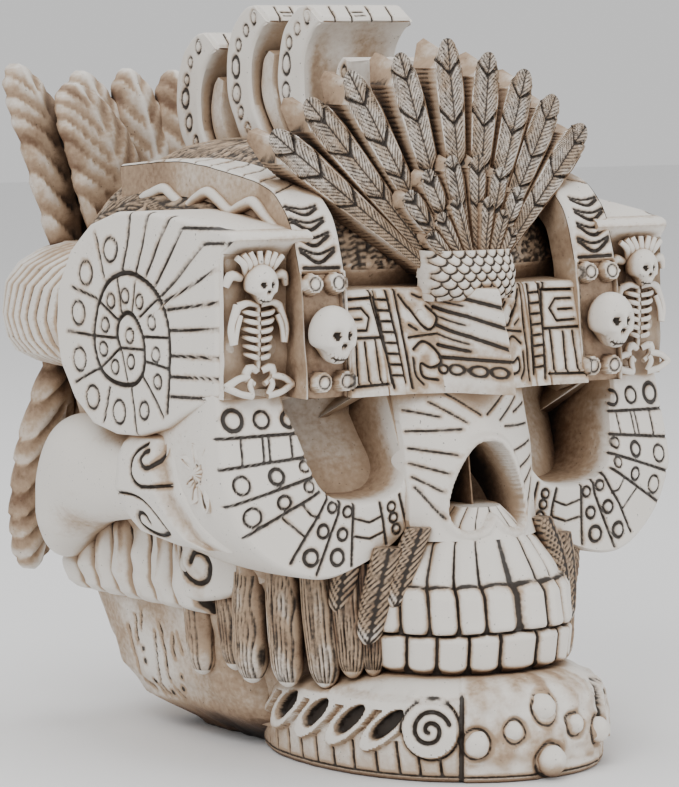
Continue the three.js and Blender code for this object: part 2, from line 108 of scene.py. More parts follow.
def through(points, n, closed=False):
    """n points spaced evenly along the cubic curve whose slope at each given point is half the step
    between its neighbours."""
    p = np.asarray(points, float)
    e = np.vstack([p[-1:], p, p[:2]]) if closed else np.vstack([2 * p[0] - p[1], p, 2 * p[-1] - p[-2]])
    t = np.linspace(0, 1, 12, endpoint=False)[None, :, None]
    a, b, c, d = (e[i:len(e) - 3 + i, None, :] for i in range(4))
    fine = (0.5 * (2 * b + (c - a) * t + (2 * a - 5 * b + 4 * c - d) * t ** 2
                   + (3 * b - a - 3 * c + d) * t ** 3)).reshape(-1, p.shape[1])
    fine = np.vstack([fine, p[:1] if closed else p[-1:]])
    run = np.r_[0, np.cumsum(np.linalg.norm(np.diff(fine, axis=0), axis=1))]
    at = np.linspace(0, run[-1], n + 1 if closed else n)
    made = np.stack([np.interp(at, run, fine[:, i]) for i in range(p.shape[1])], 1)
    return made[:-1] if closed else made

def straight(points, n):
    """n points spaced evenly along a chain of straight strokes."""
    p = np.asarray(points, float)
    run = np.r_[0, np.cumsum(np.linalg.norm(np.diff(p, axis=0), axis=1))]
    at = np.linspace(0, run[-1], n)
    return np.stack([np.interp(at, run, p[:, i]) for i in range(p.shape[1])], 1)

def rough(a, b, size, seed=0):
    """Smooth random hills between -1 and 1: a sum of sine waves whose directions and phases come from
    the seed; size is the length of a hill."""
    r = np.random.default_rng(seed)
    total = 0
    for i in range(7):
        w, f, g = r.uniform(0, 6.28), r.uniform(0, 6.28), r.uniform(0.6, 1.7)
        total = total + np.sin((a * np.cos(w) + b * np.sin(w)) * 6.28 * g / size / 2 + f)
    return total / 7 * 1.8

# %% Carving a sheet
class Carving:
    """Lines and rings on a sheet whose own coordinates in mm are a and b."""

    def __init__(self, a, b):
        self.a, self.b = a, b
        self.edge = np.full(a.shape, 3.0)     # mm to the edge of the nearest cut, negative inside it
        self.deep = np.zeros(a.shape)         # how deep the cuts go
        self.rise = np.zeros(a.shape)         # what stands up

    def away(self, points):
        """Distance to a chain of strokes: to the nearest point of each, then the least of them."""
        d = np.full(self.a.shape, 1e3)
        for (x0, y0), (x1, y1) in zip(points[:-1], points[1:]):
            u, v = x1 - x0, y1 - y0
            t = np.clip(((self.a - x0) * u + (self.b - y0) * v) / (u * u + v * v + 1e-9), 0, 1)
            d = np.minimum(d, np.hypot(self.a - x0 - t * u, self.b - y0 - t * v))
        return d

    def cut(self, d, wide=0.4, deep=0.5, where=None):
        """Takes a groove out where the distance d to its middle is under wide."""
        if where is not None:
            d = np.where(where, d, 3.0)
        self.edge = np.minimum(self.edge, d - wide)
        self.deep = np.maximum(self.deep, deep * smooth(1 - d / (2 * wide)))
        return self

    def line(self, points, wide=0.4, deep=0.5, curved=False, where=None):
        pts = through(points, 6 * len(points)) if curved else points
        return self.cut(self.away(pts), wide, deep, where)

    def lines(self, chains, wide=0.4, deep=0.5, curved=False):
        for c in chains:
            self.line(c, wide, deep, curved)
        return self

    def ring(self, at, r, tall=1.0, wide=0.35, deep=0.5, dome=0.0):
        """A round groove, tall times as high as it is wide, with a small dome inside it."""
        q = np.hypot(self.a - at[0], (self.b - at[1]) / tall)
        self.rise = self.rise + dome * smooth(1.15 - q / r)
        return self.cut(np.abs(q - r), wide, deep)

    def pit(self, at, r, tall=1.0, deep=1.0):
        """A hole with dark sides."""
        q = np.hypot(self.a - at[0], (self.b - at[1]) / tall)
        self.edge = np.minimum(self.edge, q - r)
        self.deep = np.maximum(self.deep, deep * smooth(1.5 - q / r))
        return self

    @property
    def lift(self):
        return self.rise - self.deep

def barbs(c, along, off, step=1.3, slant=1.1, wide=0.17, deep=0.25, where=None):
    """Feather barbs: lines that leave the shaft on both sides at a slant. The place between two of
    them is the fraction of (along - slant * |off|) / step."""
    f = (along - slant * np.abs(off)) / step
    d = np.abs(f - np.round(f)) * step / math.hypot(1, slant)
    c.cut(d, wide, deep, where)
    return c.cut(np.abs(off), wide * 1.3, deep, where)

# %% Building pieces
def normals(P, around=False):
    """Cross product of the steps along and across the grid, made one long."""
    if around:
        Q = np.concatenate([P[:, -1:], P, P[:, :1]], 1)
        v = (Q[:, 2:] - Q[:, :-2])
    else:
        v = np.gradient(P, axis=1)
    n = np.cross(np.gradient(P, axis=0), v)
    return n / np.maximum(np.linalg.norm(n, axis=-1, keepdims=True), 1e-9)

def lifted(P, lift, inside=None, facing=None, around=False):
    """Moves each point along its normal by lift; the normal looks away from the point inside, or the
    same way as facing."""
    n = normals(P, around)
    look = np.sum(n * (P - np.asarray(inside, float) if inside is not None else np.asarray(facing, float)))
    return P + n * (np.sign(look) * np.broadcast_to(lift, P.shape[:2]))[..., None]

class Piece:
    """Closed sheets gathered into one object."""

    def __init__(self, name):
        self.name, self.parts = name, []

    def add(self, P, edge=3.0, wash_and_shade=0.0, around=False, back=None, mirror=True):
        """Adds a grid of points. With around, its rows are rings and its two ends get caps; else its
        rim goes back by the vector back and is capped there."""
        m, n = P.shape[:2]
        i = np.arange(m * n).reshape(m, n)
        edge, wash_and_shade = (np.broadcast_to(v, (m, n)).ravel() for v in (edge, wash_and_shade))
        V = P.reshape(-1, 3)
        w = np.hstack([i, i[:, :1]]) if around else i
        quads = np.stack([w[:-1, :-1], w[:-1, 1:], w[1:, 1:], w[1:, :-1]], -1).reshape(-1, 4)
        tris = []
        if around:
            for ring, turn in ((i[0], 1), (i[-1], -1)):
                V = np.vstack([V, V[ring].mean(0)])
                t = np.stack([np.full(n, len(V) - 1), np.roll(ring, -1), ring], 1)
                tris.append(t[:, ::turn])
                edge, wash_and_shade = np.append(edge, edge[ring].mean()), np.append(wash_and_shade, wash_and_shade[ring].mean())
        else:
            rim = np.concatenate([i[0], i[1:, -1], i[-1, -2::-1], i[-2:0:-1, 0]])
            k = len(rim)
            V = np.vstack([V, V[rim] + np.asarray(back, float), (V[rim] + np.asarray(back, float)).mean(0)])
            low = m * n + np.arange(k)
            quads = np.vstack([quads, np.stack([rim, low, np.roll(low, -1), np.roll(rim, -1)], 1)])
            tris.append(np.stack([np.full(k, m * n + k), np.roll(low, -1), low], 1))
            edge = np.concatenate([edge, np.full(k + 1, 3.0)])
            wash_and_shade = np.concatenate([wash_and_shade, wash_and_shade[rim], [0.5]])
        tris = np.vstack(tris)
        T = np.vstack([quads[:, [0, 1, 2]], quads[:, [0, 2, 3]], tris])
        volume = np.einsum("ij,ij->", V[T[:, 0]] - V[0], np.cross(V[T[:, 1]] - V[0], V[T[:, 2]] - V[0]))
        if volume < 0:
            quads, tris = quads[:, ::-1], tris[:, ::-1]
        self.parts.append((V, quads, tris, edge, wash_and_shade))
        if mirror:
            self.parts.append((V * (-1, 1, 1), quads[:, ::-1], tris[:, ::-1], edge, wash_and_shade))
        return self

    def build(self):
        """Puts every part into one mesh in metres and hides the faceted skull behind it."""
        V, Q, T, E, W, at = [], [], [], [], [], 0
        for v, q, t, e, w in self.parts:
            V.append(v), Q.append(q + at), T.append(t + at), E.append(e), W.append(w)
            at += len(v)
        V, Q, T = np.vstack(V) / 1000, np.vstack(Q), np.vstack(T)
        mesh = bpy.data.meshes.new(self.name)
        mesh.vertices.add(len(V))
        mesh.vertices.foreach_set("co", V.astype(np.float32).ravel())
        mesh.loops.add(Q.size + T.size)
        mesh.loops.foreach_set("vertex_index", np.concatenate([Q.ravel(), T.ravel()]).astype(np.int32))
        mesh.polygons.add(len(Q) + len(T))
        starts = np.concatenate([np.arange(len(Q)) * 4, Q.size + np.arange(len(T)) * 3])
        mesh.polygons.foreach_set("loop_start", starts.astype(np.int32))
        mesh.update(calc_edges=True)
        mesh.validate()
        for name, values in (("edge", np.concatenate(E)), ("wash_and_shade", np.concatenate(W))):
            mesh.attributes.new(name, "FLOAT", "POINT").data.foreach_set("value", values.astype(np.float32))
        mesh.shade_smooth()
        mesh.set_sharp_from_angle(angle=math.radians(48))
        mesh.materials.append(resin)
        o = bpy.data.objects.new(self.name, mesh)
        bpy.context.scene.collection.objects.link(o)
        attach(o, "root")
        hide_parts("skull")
        lo, hi = V.min(0) * 1000, V.max(0) * 1000
        print(f"{self.name}: {2 * len(Q) + len(T)} triangles, {lo.round(1)} to {hi.round(1)} mm")
        return o

# %% Round bars, balls and beams
def tube(path, radii, n=16, flat=1.0, side=(0, 1, 0)):
    """Rings round a path: centre + r (u cos + flat w sin), where u and w stand across the path."""
    p = np.asarray(path, float)
    t = np.gradient(p, axis=0)
    t /= np.linalg.norm(t, axis=1, keepdims=True) + 1e-9
    u = np.cross(np.broadcast_to(side, t.shape), t)
    u /= np.linalg.norm(u, axis=1, keepdims=True) + 1e-9
    w = np.cross(t, u)
    a = np.arange(n) / n * 2 * np.pi
    r = np.broadcast_to(radii, len(p))[:, None, None]
    return p[:, None] + r * (u[:, None] * np.cos(a)[None, :, None] + flat * w[:, None] * np.sin(a)[None, :, None])

def ball(at, r, n=28, m=16):
    """An ellipsoid: rings from the bottom pole to the top one."""
    a, e = np.arange(n) / n * 2 * np.pi, np.linspace(-np.pi / 2 + 0.02, np.pi / 2 - 0.02, m)
    E, A = np.meshgrid(e, a, indexing="ij")
    return np.asarray(at, float) + np.asarray(r, float) * np.stack(
        [np.cos(E) * np.cos(A), np.cos(E) * np.sin(A), np.sin(E)], -1)
# %% [markdown]
# ## The resin
# The casting is bone-white resin. The maker brushed a thin brown wash over it and wiped it off, so the
# wash stays in every cut and hollow and leaves a tan film beside them. The shader reads the distance to
# the cut's edge for the crisp dark lines, an Ambient Occlusion node for the hollows, and noise for the
# uneven wiping, the tan patches and the tiny pits. The Ambient Occlusion node also paints shade into the
# colour wherever other surfaces close in, between parts and under overhangs. It goes tan, then brown, and
# black in the deepest places, so it is partly the wash and partly painted shade.

# %% Shader maths as expressions
class Wire:
    """A socket that adds its own Math nodes when it is used in an expression."""

    def __init__(self, tree, socket):
        self.tree, self.socket = tree, socket

    def node(self, kind, settings=None, out=0, **values):
        """Any other node: its settings first, then values or wires for its sockets by name or place."""
        return make(self.tree, kind, settings, out, **values)

    def maths(self, work, other, turned=False):
        a, b = (other, self) if turned else (self, other)
        return make(self.tree, "ShaderNodeMath", {"operation": work}, 0, _0=a, _1=b)

    def __add__(self, o): return self.maths("ADD", o)
    def __radd__(self, o): return self.maths("ADD", o, True)
    def __sub__(self, o): return self.maths("SUBTRACT", o)
    def __rsub__(self, o): return self.maths("SUBTRACT", o, True)
    def __mul__(self, o): return self.maths("MULTIPLY", o)
    def __rmul__(self, o): return self.maths("MULTIPLY", o, True)
    def __truediv__(self, o): return self.maths("DIVIDE", o)
    def __pow__(self, o): return self.maths("POWER", o)
    def at_least(self, o): return self.maths("MAXIMUM", o)
    def at_most(self, o): return self.maths("MINIMUM", o)

    def between(self, low, high):
        """0 at low and 1 at high, smooth in between, flat outside."""
        return make(self.tree, "ShaderNodeMapRange", {"interpolation_type": "SMOOTHSTEP"}, 0,
                    Value=self, From_Min=low, From_Max=high)

def make(tree, kind, settings=None, out=0, **values):
    """Adds a node, sets it up, and wires or sets its sockets; _0 is the first socket, From_Min is
    'From Min'."""
    n = tree.nodes.new(kind)
    for k, v in (settings or {}).items():
        setattr(n, k, v)
    for k, v in values.items():
        s = n.inputs[int(k[1:])] if k[0] == "_" else n.inputs[k.replace("_", " ")]
        if isinstance(v, Wire):
            tree.links.new(v.socket, s)
        else:
            s.default_value = v
    return Wire(tree, n.outputs[out])

def blend(factor, a, b):
    """Colour a where the factor is 0 and b where it is 1."""
    return make(factor.tree, "ShaderNodeMix", {"data_type": "RGBA"}, 2, _0=factor, _6=a, _7=b)

# %% Bone-white resin with a brown wash and painted shade
resin = bpy.data.materials.new("washed_resin_with_painted_shade")
resin.use_nodes = True
tree = resin.node_tree
shader = tree.nodes["Principled BSDF"]
place = make(tree, "ShaderNodeTexCoord", out=3)

def noise(scale, detail=3.0, roughness=0.55):
    return make(tree, "ShaderNodeTexNoise", None, 0, Vector=place, Scale=scale, Detail=detail, Roughness=roughness)

edge = make(tree, "ShaderNodeAttribute", {"attribute_name": "edge"}, out=2)
# Per-point brown wash, with painted shade added to it on some pieces
wash_and_shade = make(tree, "ShaderNodeAttribute", {"attribute_name": "wash_and_shade"}, out=2)
# Ambient Occlusion is partly the brown wash left in hollows and partly painted shade between parts and under overhangs.
# It feeds tan, brown and black below.
hollow = 1 - make(tree, "ShaderNodeAmbientOcclusion", {"samples": 8, "only_local": False}, 1, Distance=0.011)
patch, grain, fleck = noise(55), noise(700, 4), noise(1500, 1)
wobble = (noise(900, 2) - 0.5) * 0.35
ink = 1 - (edge + wobble).between(-0.12, 0.22)
film = (1 - (edge + wobble * 2).between(0.0, 1.1)) * 0.3
tan = (hollow.between(0.18, 0.75) * 0.95 + film + wash_and_shade * 0.6 + (patch - 0.5) * 0.5 + (grain - 0.5) * 0.35).between(0.12, 0.62)
brown = (hollow.between(0.42, 0.98) + wash_and_shade * 0.55 + (patch - 0.5) * 0.3 + (grain - 0.5) * 0.5).between(0.35, 0.95)
black = (ink * 0.96).at_least((hollow + wash_and_shade * 0.35 + (grain - 0.5) * 0.3).between(0.95, 1.3))
black = black.at_least(fleck.between(0.735, 0.775) * 0.75)
WHITE, TAN, BROWN, BLACK = (0.74, 0.70, 0.64, 1), (0.42, 0.30, 0.20, 1), (0.14, 0.075, 0.04, 1), (0.012, 0.008, 0.006, 1)
colour = blend(black, blend(brown, blend(tan, WHITE, TAN), BROWN), BLACK)
tree.links.new(colour.socket, shader.inputs["Base Color"])
tree.links.new((0.42 + tan * 0.2 + grain * 0.12).socket, shader.inputs["Roughness"])
height = edge.between(-0.35, 0.15) * 0.5 + grain * 0.06
bump = make(tree, "ShaderNodeBump", None, 0, Strength=0.55, Distance=0.0006, Height=height)
tree.links.new(bump.socket, shader.inputs["Normal"])
shader.inputs["Specular IOR Level"].default_value = 0.42
print("resin has", len(tree.nodes), "nodes")
# %% [markdown]
# ## Ear blocks
# Each ear block is a drum with a coiled disc cut into its outer side, like a snail's shell, and rays that
# run from the coil to its top and front. A sheet round the coil's middle goes out to the drum's rim,
# turns the corner and runs inwards, so one closed sheet makes face, rounded edge and flank.

# %% Coiled side of an ear block
BLOCK = {"inner": 44, "outer": 66, "flare": 0.0875, "front": -41}

def side_x(y):
    """Outer side of the block: it widens towards the back by the flare."""
    return BLOCK["outer"] + BLOCK["flare"] * (y - BLOCK["front"])

rim = [(-41, 91), (-34, 88.5), (-28, 86), (-20, 82.2), (-9, 79.3), (0, 79), (9, 81), (17, 86.5), (22.5, 94.5),
       (24.8, 104), (23.6, 114), (18.5, 123), (10, 129.8), (0, 133), (-12, 133.6), (-24, 132.6), (-36, 131.2),
       (-45, 129.6), (-46.3, 127.4), (-45.2, 125.2), (-41.3, 124.2), (-41, 120), (-41, 105)]
middle = np.array([-6.1, 103.4])
ray = np.arange(216) / 216 * 2 * np.pi
curve = straight(rim + rim[:1], 1600) - middle
turn = np.unwrap(np.arctan2(curve[:, 1], curve[:, 0]))
order = np.argsort(np.mod(turn, 2 * np.pi))
reach = np.interp(ray, np.mod(turn, 2 * np.pi)[order], np.hypot(*curve.T)[order], period=2 * np.pi)
out = np.r_[np.linspace(0.02, 0.955, 50), np.linspace(0.965, 1, 5)]
down = np.r_[np.zeros(50), 1.9 * (1 - np.sqrt(1 - np.linspace(0.15, 1, 5) ** 2))]
flank = np.linspace(0, 1, 8)[1:]
rho = np.r_[out, np.ones(len(flank))][:, None] * reach
a = middle[0] + rho * np.cos(ray)
b = middle[1] + rho * np.sin(ray)
x = side_x(a) - np.r_[down, down[-1] + flank * 21][:, None]
coil = Carving(a, b)
coil.line([(-20.6, 86), (-21.4, 95.1), (-21.5, 102.2), (-20.7, 108.1), (-17.6, 113.2), (-12.5, 116.7), (-5, 118.5),
           (2.3, 116.2), (6.4, 111.4), (8.1, 105.2), (8.1, 99.6), (6.1, 94.9), (2.1, 92.2), (-3.1, 91.4),
           (-8.4, 92.2), (-11.6, 95.6), (-11.6, 100.4), (-10.4, 104.4), (-7.7, 107.8), (-4.5, 108.9),
           (-1.7, 107), (-0.8, 103.3), (-2, 100)], 0.55, 1.1, curved=True)
coil.lines([[(7.5, 127.6), (3.9, 117.1)], [(17.1, 114), (7.6, 111.8)], [(19.3, 103.1), (8.1, 102.6)],
            [(16.5, 90.7), (6.6, 94.6)], [(2.1, 90.5), (4.6, 81.8)], [(-6.8, 90.9), (-9.1, 79.8)],
            [(-11.6, 93.9), (-19.4, 84.7)], [(7.3, 102.6), (-0.8, 102.6)], [(-11.6, 103.5), (-20.7, 103.8)],
            [(-12.8, 97.6), (-21, 96.5)], [(-10.1, 108.2), (-17.2, 112.7)], [(-6.9, 109.2), (-8.2, 116.3)],
            [(-2.5, 109), (-1.3, 116.7)], [(-1.3, 107), (5.6, 110.7)], [(-1.2, 99.7), (5.3, 95.2)],
            [(-2.8, 99.4), (-5.2, 92.7)], [(-2, 100.3), (-11.2, 100.4)]], 0.32, 0.6)
for at in [(1.4, 123.8), (11.7, 117.7), (14.6, 107.8), (14.3, 96.5), (8.7, 87.6), (-1.5, 84.7)]:
    coil.ring(at, 2.55, 1.12, 0.3, 0.5, 0.3)
coil.ring((-11.9, 85.8), 1.7, 1.25, 0.28, 0.5, 0.2)
for at in [(1.5, 111.4), (-4.1, 112.9), (-10.1, 111.8), (-14.8, 107.1), (-16.3, 99.5), (-17.1, 93.1),
           (3.6, 105.5), (4.5, 99.6), (0, 95.5), (-6.8, 97.2), (-6.1, 103.4)]:
    coil.ring(at, 1.5, 1.15, 0.26, 0.45, 0.25)
coil.lines([[(-3.4, 119.2), (-6.3, 133)], [(-8.6, 118.7), (-14, 133.4)], [(-12.9, 118.4), (-22, 133)],
            [(-16.5, 116.2), (-26.8, 130.2), (-45, 130.6)], [(-18.8, 113.7), (-35.1, 126.8), (-47, 127.4)],
            [(-20, 112.4), (-40.8, 121.4)], [(-21.1, 110.5), (-40.7, 113.3)], [(-21.5, 105.6), (-41.1, 107)],
            [(-21.4, 99.6), (-41.4, 100.2)], [(-21.4, 94.6), (-41.4, 95.3)], [(-22.2, 89.9), (-41.8, 90.6)]], 0.36, 0.6)
outside = (np.arange(len(x)) < len(out))[:, None]
brow = (a < -41.2) & (b > 125)
coil.edge = np.where(outside | brow, coil.edge, 3.0)
over_brow = np.minimum(np.abs(b - 130.6), np.abs(b - 127.4)) - 0.36
coil.edge = np.where(brow & ~outside, over_brow, coil.edge)
P = np.stack([x - np.where(outside, coil.deep - coil.rise, 0), a, b], -1)
P[:, :, 0] += 0.25 * rough(a, b, 9, 1) * outside
under = np.clip((a + 41.4) / -0.4, 0, 1) * 0
ears = Piece("ear_blocks")
ears.add(P, coil.edge, 0.1 + 0.25 * (~outside) * (b < 100) + under, around=True)
# %% [markdown]
# ### The seated skeletons
# On the front of each ear block sits a small skeleton with a plumed skull. Its ribs, arms and folded legs
# are round bars laid on a brown ground, all of them half sunk into the block.

# %% Skeleton relief
ground = straight([(45, 92.5), (65.4, 92.5)], 60)
gx, gz = np.meshgrid(np.linspace(44.6, 65.5, 28), np.linspace(90.5, 124.6, 44))
frame_away = np.minimum(np.minimum(gx - 44.4, 65.8 - gx), np.minimum(gz - 90.2, 124.8 - gz))
P = np.stack([gx, -41.2 - 1.2 * smooth(1 - frame_away / 1.5) + 0.3 * rough(gx, gz, 5, 4), gz], -1)
ears.add(P, 3.0, 0.55 + 0.15 * rough(gx, gz, 6, 2) - 0.4 * smooth(1 - frame_away / 1.5), back=(0, 4, 0))

SKELETON = np.array([57.0, -43.6, 0.0])

def limb(points, radii, n=9, count=10, wash_and_shade=0.0, piece=ears):
    """A bone: a bar along a smooth path, thick as given at its points."""
    p = through(points, count) + SKELETON
    r = np.interp(np.linspace(0, 1, count), np.linspace(0, 1, len(radii)), radii)
    piece.add(tube(p, r, n), 3.0, wash_and_shade, around=True)

def tiny_skull(at, r, piece, tall=1.08, jaw=True):
    """A skull on a ball: the face is pinched in below, the sockets and the nose are pushed in and the
    cheeks stand out. u and v are the face's own right and up, in parts of the radius."""
    P = ball((0, 0, 0), (1, 1, 1), 84, 38)
    u, front, v = P[..., 0], -P[..., 1], P[..., 2]
    face = smooth(front * 2.2)
    hole = lambda cu, cv, w, h: smooth(1.35 - np.hypot((np.abs(u) - cu) / w, (v - cv) / h)) * face
    eyes, nose = hole(0.36, -0.02, 0.25, 0.23), hole(0.06, -0.42, 0.10, 0.16)
    low = smooth((-v - 0.25) / 0.6)
    teeth = face * smooth((-v - 0.62) * 8) * smooth((0.98 + v) * 9)
    grooves = np.abs(np.mod(u * 7.5, 1) - 0.5) * 2
    r_here = 1 - 0.30 * low * smooth(np.abs(u) * 1.6 - 0.2) - 0.34 * eyes - 0.22 * nose + 0.10 * low * face \
        + 0.06 * smooth(1 - np.hypot((np.abs(u) - 0.55) / 0.25, (v + 0.35) / 0.16)) * face - 0.05 * teeth * smooth(1 - grooves * 2.2)
    Q = P * r_here[..., None] * np.array([0.94, 1.0, tall]) * r
    dark = np.minimum(np.where(eyes > 0.45, -0.4, 3.0), np.where(nose > 0.5, -0.3, 3.0))
    slit = np.where((teeth > 0.6) & (grooves < 0.3), -0.1, 3.0)
    mouth = np.where((np.abs(v + 0.80) < 0.03) & (face > 0.5) & (np.abs(u) < 0.42), -0.1, 3.0)
    piece.add(Q + np.asarray(at, float), np.minimum(np.minimum(dark, slit), mouth), 0.02 + 0.2 * low, around=True)

tiny_skull(SKELETON + (0, -1.6, 117.6), 4.3, ears)
for k, i in enumerate(np.linspace(-1, 1, 7)):
    limb([(i * 3.0, 0.4, 119.5), (i * 4.4, -1.2, 122.2), (i * 5.6 + 0.8 * np.sign(i), -1.0, 125.2 - 1.3 * i * i)],
         [0.7, 0.95, 0.75])
for s in (-1, 1):
    limb([(s * 4.2, 0.6, 119), (s * 7.2, 0.2, 119.6), (s * 8.4, 0.6, 117.0)], [1.0, 1.3, 0.8], wash_and_shade=0.2)
limb([(0, 0.2, 113.4), (0, -0.4, 106), (0, 0.2, 97)], [0.9, 0.75, 0.9])
for k in range(6):
    z, w = 110.8 - 2.05 * k, 4.4 - 0.28 * k
    for s in (-1, 1):
        limb([(s * 0.5, -0.9, z - 0.4), (s * w * 0.6, -1.7, z), (s * w, -0.2, z + 0.5), (s * (w + 0.1), 1.2, z + 0.6)],
             [0.62, 0.66, 0.55, 0.4], 7, 8)
for s in (-1, 1):
    limb([(s * 0.6, -0.6, 112.6), (s * 3.4, -1.2, 113.2), (s * 5.6, -0.4, 112.4)], [0.7, 0.8, 1.1])
    limb([(s * 5.6, -0.3, 112.6), (s * 7.6, -0.6, 107.6), (s * 7.0, -0.8, 103.6)], [1.15, 0.85, 1.0])
    limb([(s * 7.0, -0.8, 103.8), (s * 6.2, -1.0, 107.6), (s * 5.2, -0.6, 110.2)], [0.9, 0.7, 0.8])
    limb([(s * 0.8, -0.6, 97.2), (s * 3.0, -1.2, 98.0), (s * 3.8, -0.6, 95.6), (s * 1.4, -0.8, 94.0)], [0.9, 1.1, 1.0, 0.7])
    limb([(s * 3.2, -0.9, 96.0), (s * 6.4, -1.4, 95.4), (s * 9.2, -0.8, 93.6)], [0.9, 0.85, 1.0])
    limb([(s * 9.2, -0.9, 93.7), (s * 5.6, -1.6, 92.0), (s * 2.2, -1.0, 91.4)], [1.0, 0.8, 1.0])
    limb([(s * 2.2, -1.2, 91.6), (s * 3.2, -1.6, 94.0), (s * 2.6, -1.4, 95.2)], [0.7, 0.8, 0.6])
ears.build()
# %% [markdown]
# ## Plates round the eyes
# The plates are broad rims round the eye sockets, like goggles. A sheet runs along the rim from the
# temple, under the eye, to the nose, and across it from the socket to the outer edge. It starts deep
# inside the socket and ends behind the outer edge, so the same sheet also makes the socket's wall and the
# plate's thick flank.

# %% Goggle plates
SOCKET_EDGE = [(49.4, 92.5), (49, 87.3), (47.3, 82.7), (46.2, 78), (45.0, 73.5), (43.1, 69.2), (39.6, 66.4), (33.9, 65.2),
               (28.1, 65.2), (23.1, 66.4), (19.8, 69.2), (18.6, 73), (19.4, 80), (20.4, 92.5)]
PLATE_EDGE = [(66.2, 92.5), (66.4, 86.4), (66.9, 80.5), (67.2, 73.5), (66.6, 66.5), (63.5, 59.0), (57.6, 52.8), (50.5, 48.8),
              (42.5, 47.3), (35.3, 48.6), (26.6, 52.0), (20.5, 56.0), (17.0, 62.5), (15.5, 92.5)]

def plate_y(x, z):
    """Front of a plate: flat below, leaning back above z 68 and towards the temple."""
    return -50.5 + 0.27 * np.maximum(x - 46, 0) * (1 - 0.012 * np.maximum(z - 62, 0)) + 0.31 * np.maximum(z - 68, 0)

inner, outer = through(SOCKET_EDGE, 216), through(PLATE_EDGE, 216)
w = np.linspace(0, 1, 51)
x = inner[:, :1] * (1 - w) + outer[:, :1] * w
z = inner[:, 1:] * (1 - w) + outer[:, 1:] * w
plate = Carving(x, z)
plate.lines([[(68, 81.3), (44.9, 82)], [(67.5, 74.2), (45.2, 76.5)], [(67, 65.4), (44.2, 72)],
             [(62.2, 58.3), (43.8, 68.3)], [(51.2, 51.7), (46.4, 59.5), (43.9, 62.9), (41.1, 67.4)],
             [(44.8, 48.7), (41.6, 55.6), (38.5, 62.5), (37.9, 66)], [(34.7, 50), (34.4, 58.6), (34.2, 64.6)],
             [(26.6, 64.5), (25.4, 59.9), (24.6, 54.5)], [(20.8, 66.1), (19.3, 61.1), (17.6, 56.5)]], 0.36, 0.6)
plate.lines([[(61.4, 81.1), (61.8, 74.9)], [(55.9, 81.3), (56.4, 75.3)], [(54.4, 81.5), (54.8, 75.7)],
             [(48.9, 81.5), (49.3, 76.2)], [(53.1, 62.4), (47.4, 57.6)], [(48.3, 65.5), (46.2, 62.8), (43.9, 62.2)],
             [(33.9, 61.2), (29.5, 60), (25.7, 61.4)], [(33.9, 57), (29.5, 56.1), (25.1, 57.5)]], 0.26, 0.45)
for at, r, wide in [((62.7, 85.5), 2.3, 0.5), ((55.5, 85.4), 1.9, 0.32), ((48.7, 85.2), 1.7, 0.42),
                    ((62.7, 70.5), 2.0, 0.3), ((53.9, 72.2), 1.7, 0.42), ((46.7, 74.3), 1.2, 0.26),
                    ((60.3, 62.9), 2.1, 0.3), ((52.7, 66.2), 1.5, 0.34), ((46.4, 69.6), 1.2, 0.26),
                    ((46.2, 52.8), 1.8, 0.42), ((42.8, 58.8), 1.5, 0.36), ((40.2, 64.3), 1.2, 0.3),
                    ((38.8, 52.3), 1.8, 0.42), ((37.3, 57.7), 1.35, 0.36), ((35.9, 63), 1.2, 0.3),
                    ((23.1, 63.3), 1.1, 0.3), ((22.5, 60.7), 1.1, 0.3), ((21.6, 57.9), 1.1, 0.3)]:
    plate.ring(at, r, 1.05, wide, 0.55, 0.35)
y = plate_y(x, z) + 0.9 * smooth(1 - w / 0.05) + 1.0 * smooth((w - 0.965) / 0.035) + 0.15 * rough(x, z, 12, 7) - plate.lift
front = np.stack([x, y, z], -1)
hole = np.array([34.5, 80.0])
depth = np.linspace(1, 0, 7)[:-1, None]
wall = front[:, 0][None] * (1, 0, 1) + np.array([0, 1, 0]) * (front[:, 0, 1][None, :, None] + depth[:, :, None] * 25)
shrink = 1 - 0.13 * depth[:, :, None]
wall[..., 0] = hole[0] + (wall[..., 0] - hole[0]) * shrink[..., 0]
wall[..., 2] = hole[1] + (wall[..., 2] - hole[1]) * shrink[..., 0]
back = np.linspace(0, 1, 6)[1:, None, None]
rim_out = front[:, -1][None]
flank = rim_out + back * np.array([0, 38.0, 0]) + np.array([0.5, 0, -0.5]) * np.sin(back * np.pi)
flank[..., 0] -= back[..., 0] * 3.0 * smooth((rim_out[..., 0] - 40) / 20)
P = np.concatenate([wall.transpose(1, 0, 2), front, flank.transpose(1, 0, 2)], 1)
edge = np.pad(plate.edge, ((0, 0), (len(depth), len(back))), constant_values=3.0)
in_wall, on_flank = (np.broadcast_to(v, (len(inner), len(v))) for v in (0.35 + 1.5 * depth[:, 0] ** 0.7, 0.15 + 0.35 * back[:, 0, 0]))
deep = np.concatenate([in_wall, 0.05 + 0.3 * smooth((z - 82) / 6) * smooth(rough(x, z, 14, 3)), on_flank], 1)
plates = Piece("eye_plates")
plates.add(P, edge, deep, back=(0, 2, 0))
plates.build()
# %% [markdown]
# ## Nose and cheekbones
# Between the sockets the bone is one sheet seen from the front: its depth is a function of x and z. The
# nose opening is a steep step in that function. A signed distance to a pear-shaped outline says where the
# step is, and leaves a thin wall standing in the middle of the hole.

# %% Face sheet with the nose opening
def outline_away(c, outline):
    """Distance to a closed outline, negative inside it; inside is where a ray crosses it an odd number
    of times."""
    p = np.asarray(outline, float)
    d, odd = c.away(list(outline) + [outline[0]]), np.zeros(c.a.shape, bool)
    for (x0, y0), (x1, y1) in zip(p, np.roll(p, -1, 0)):
        cross = ((y0 > c.b) != (y1 > c.b)) & (c.a < (x1 - x0) * (c.b - y0) / (y1 - y0 + 1e-12) + x0)
        odd ^= cross
    return np.where(odd, -d, d)

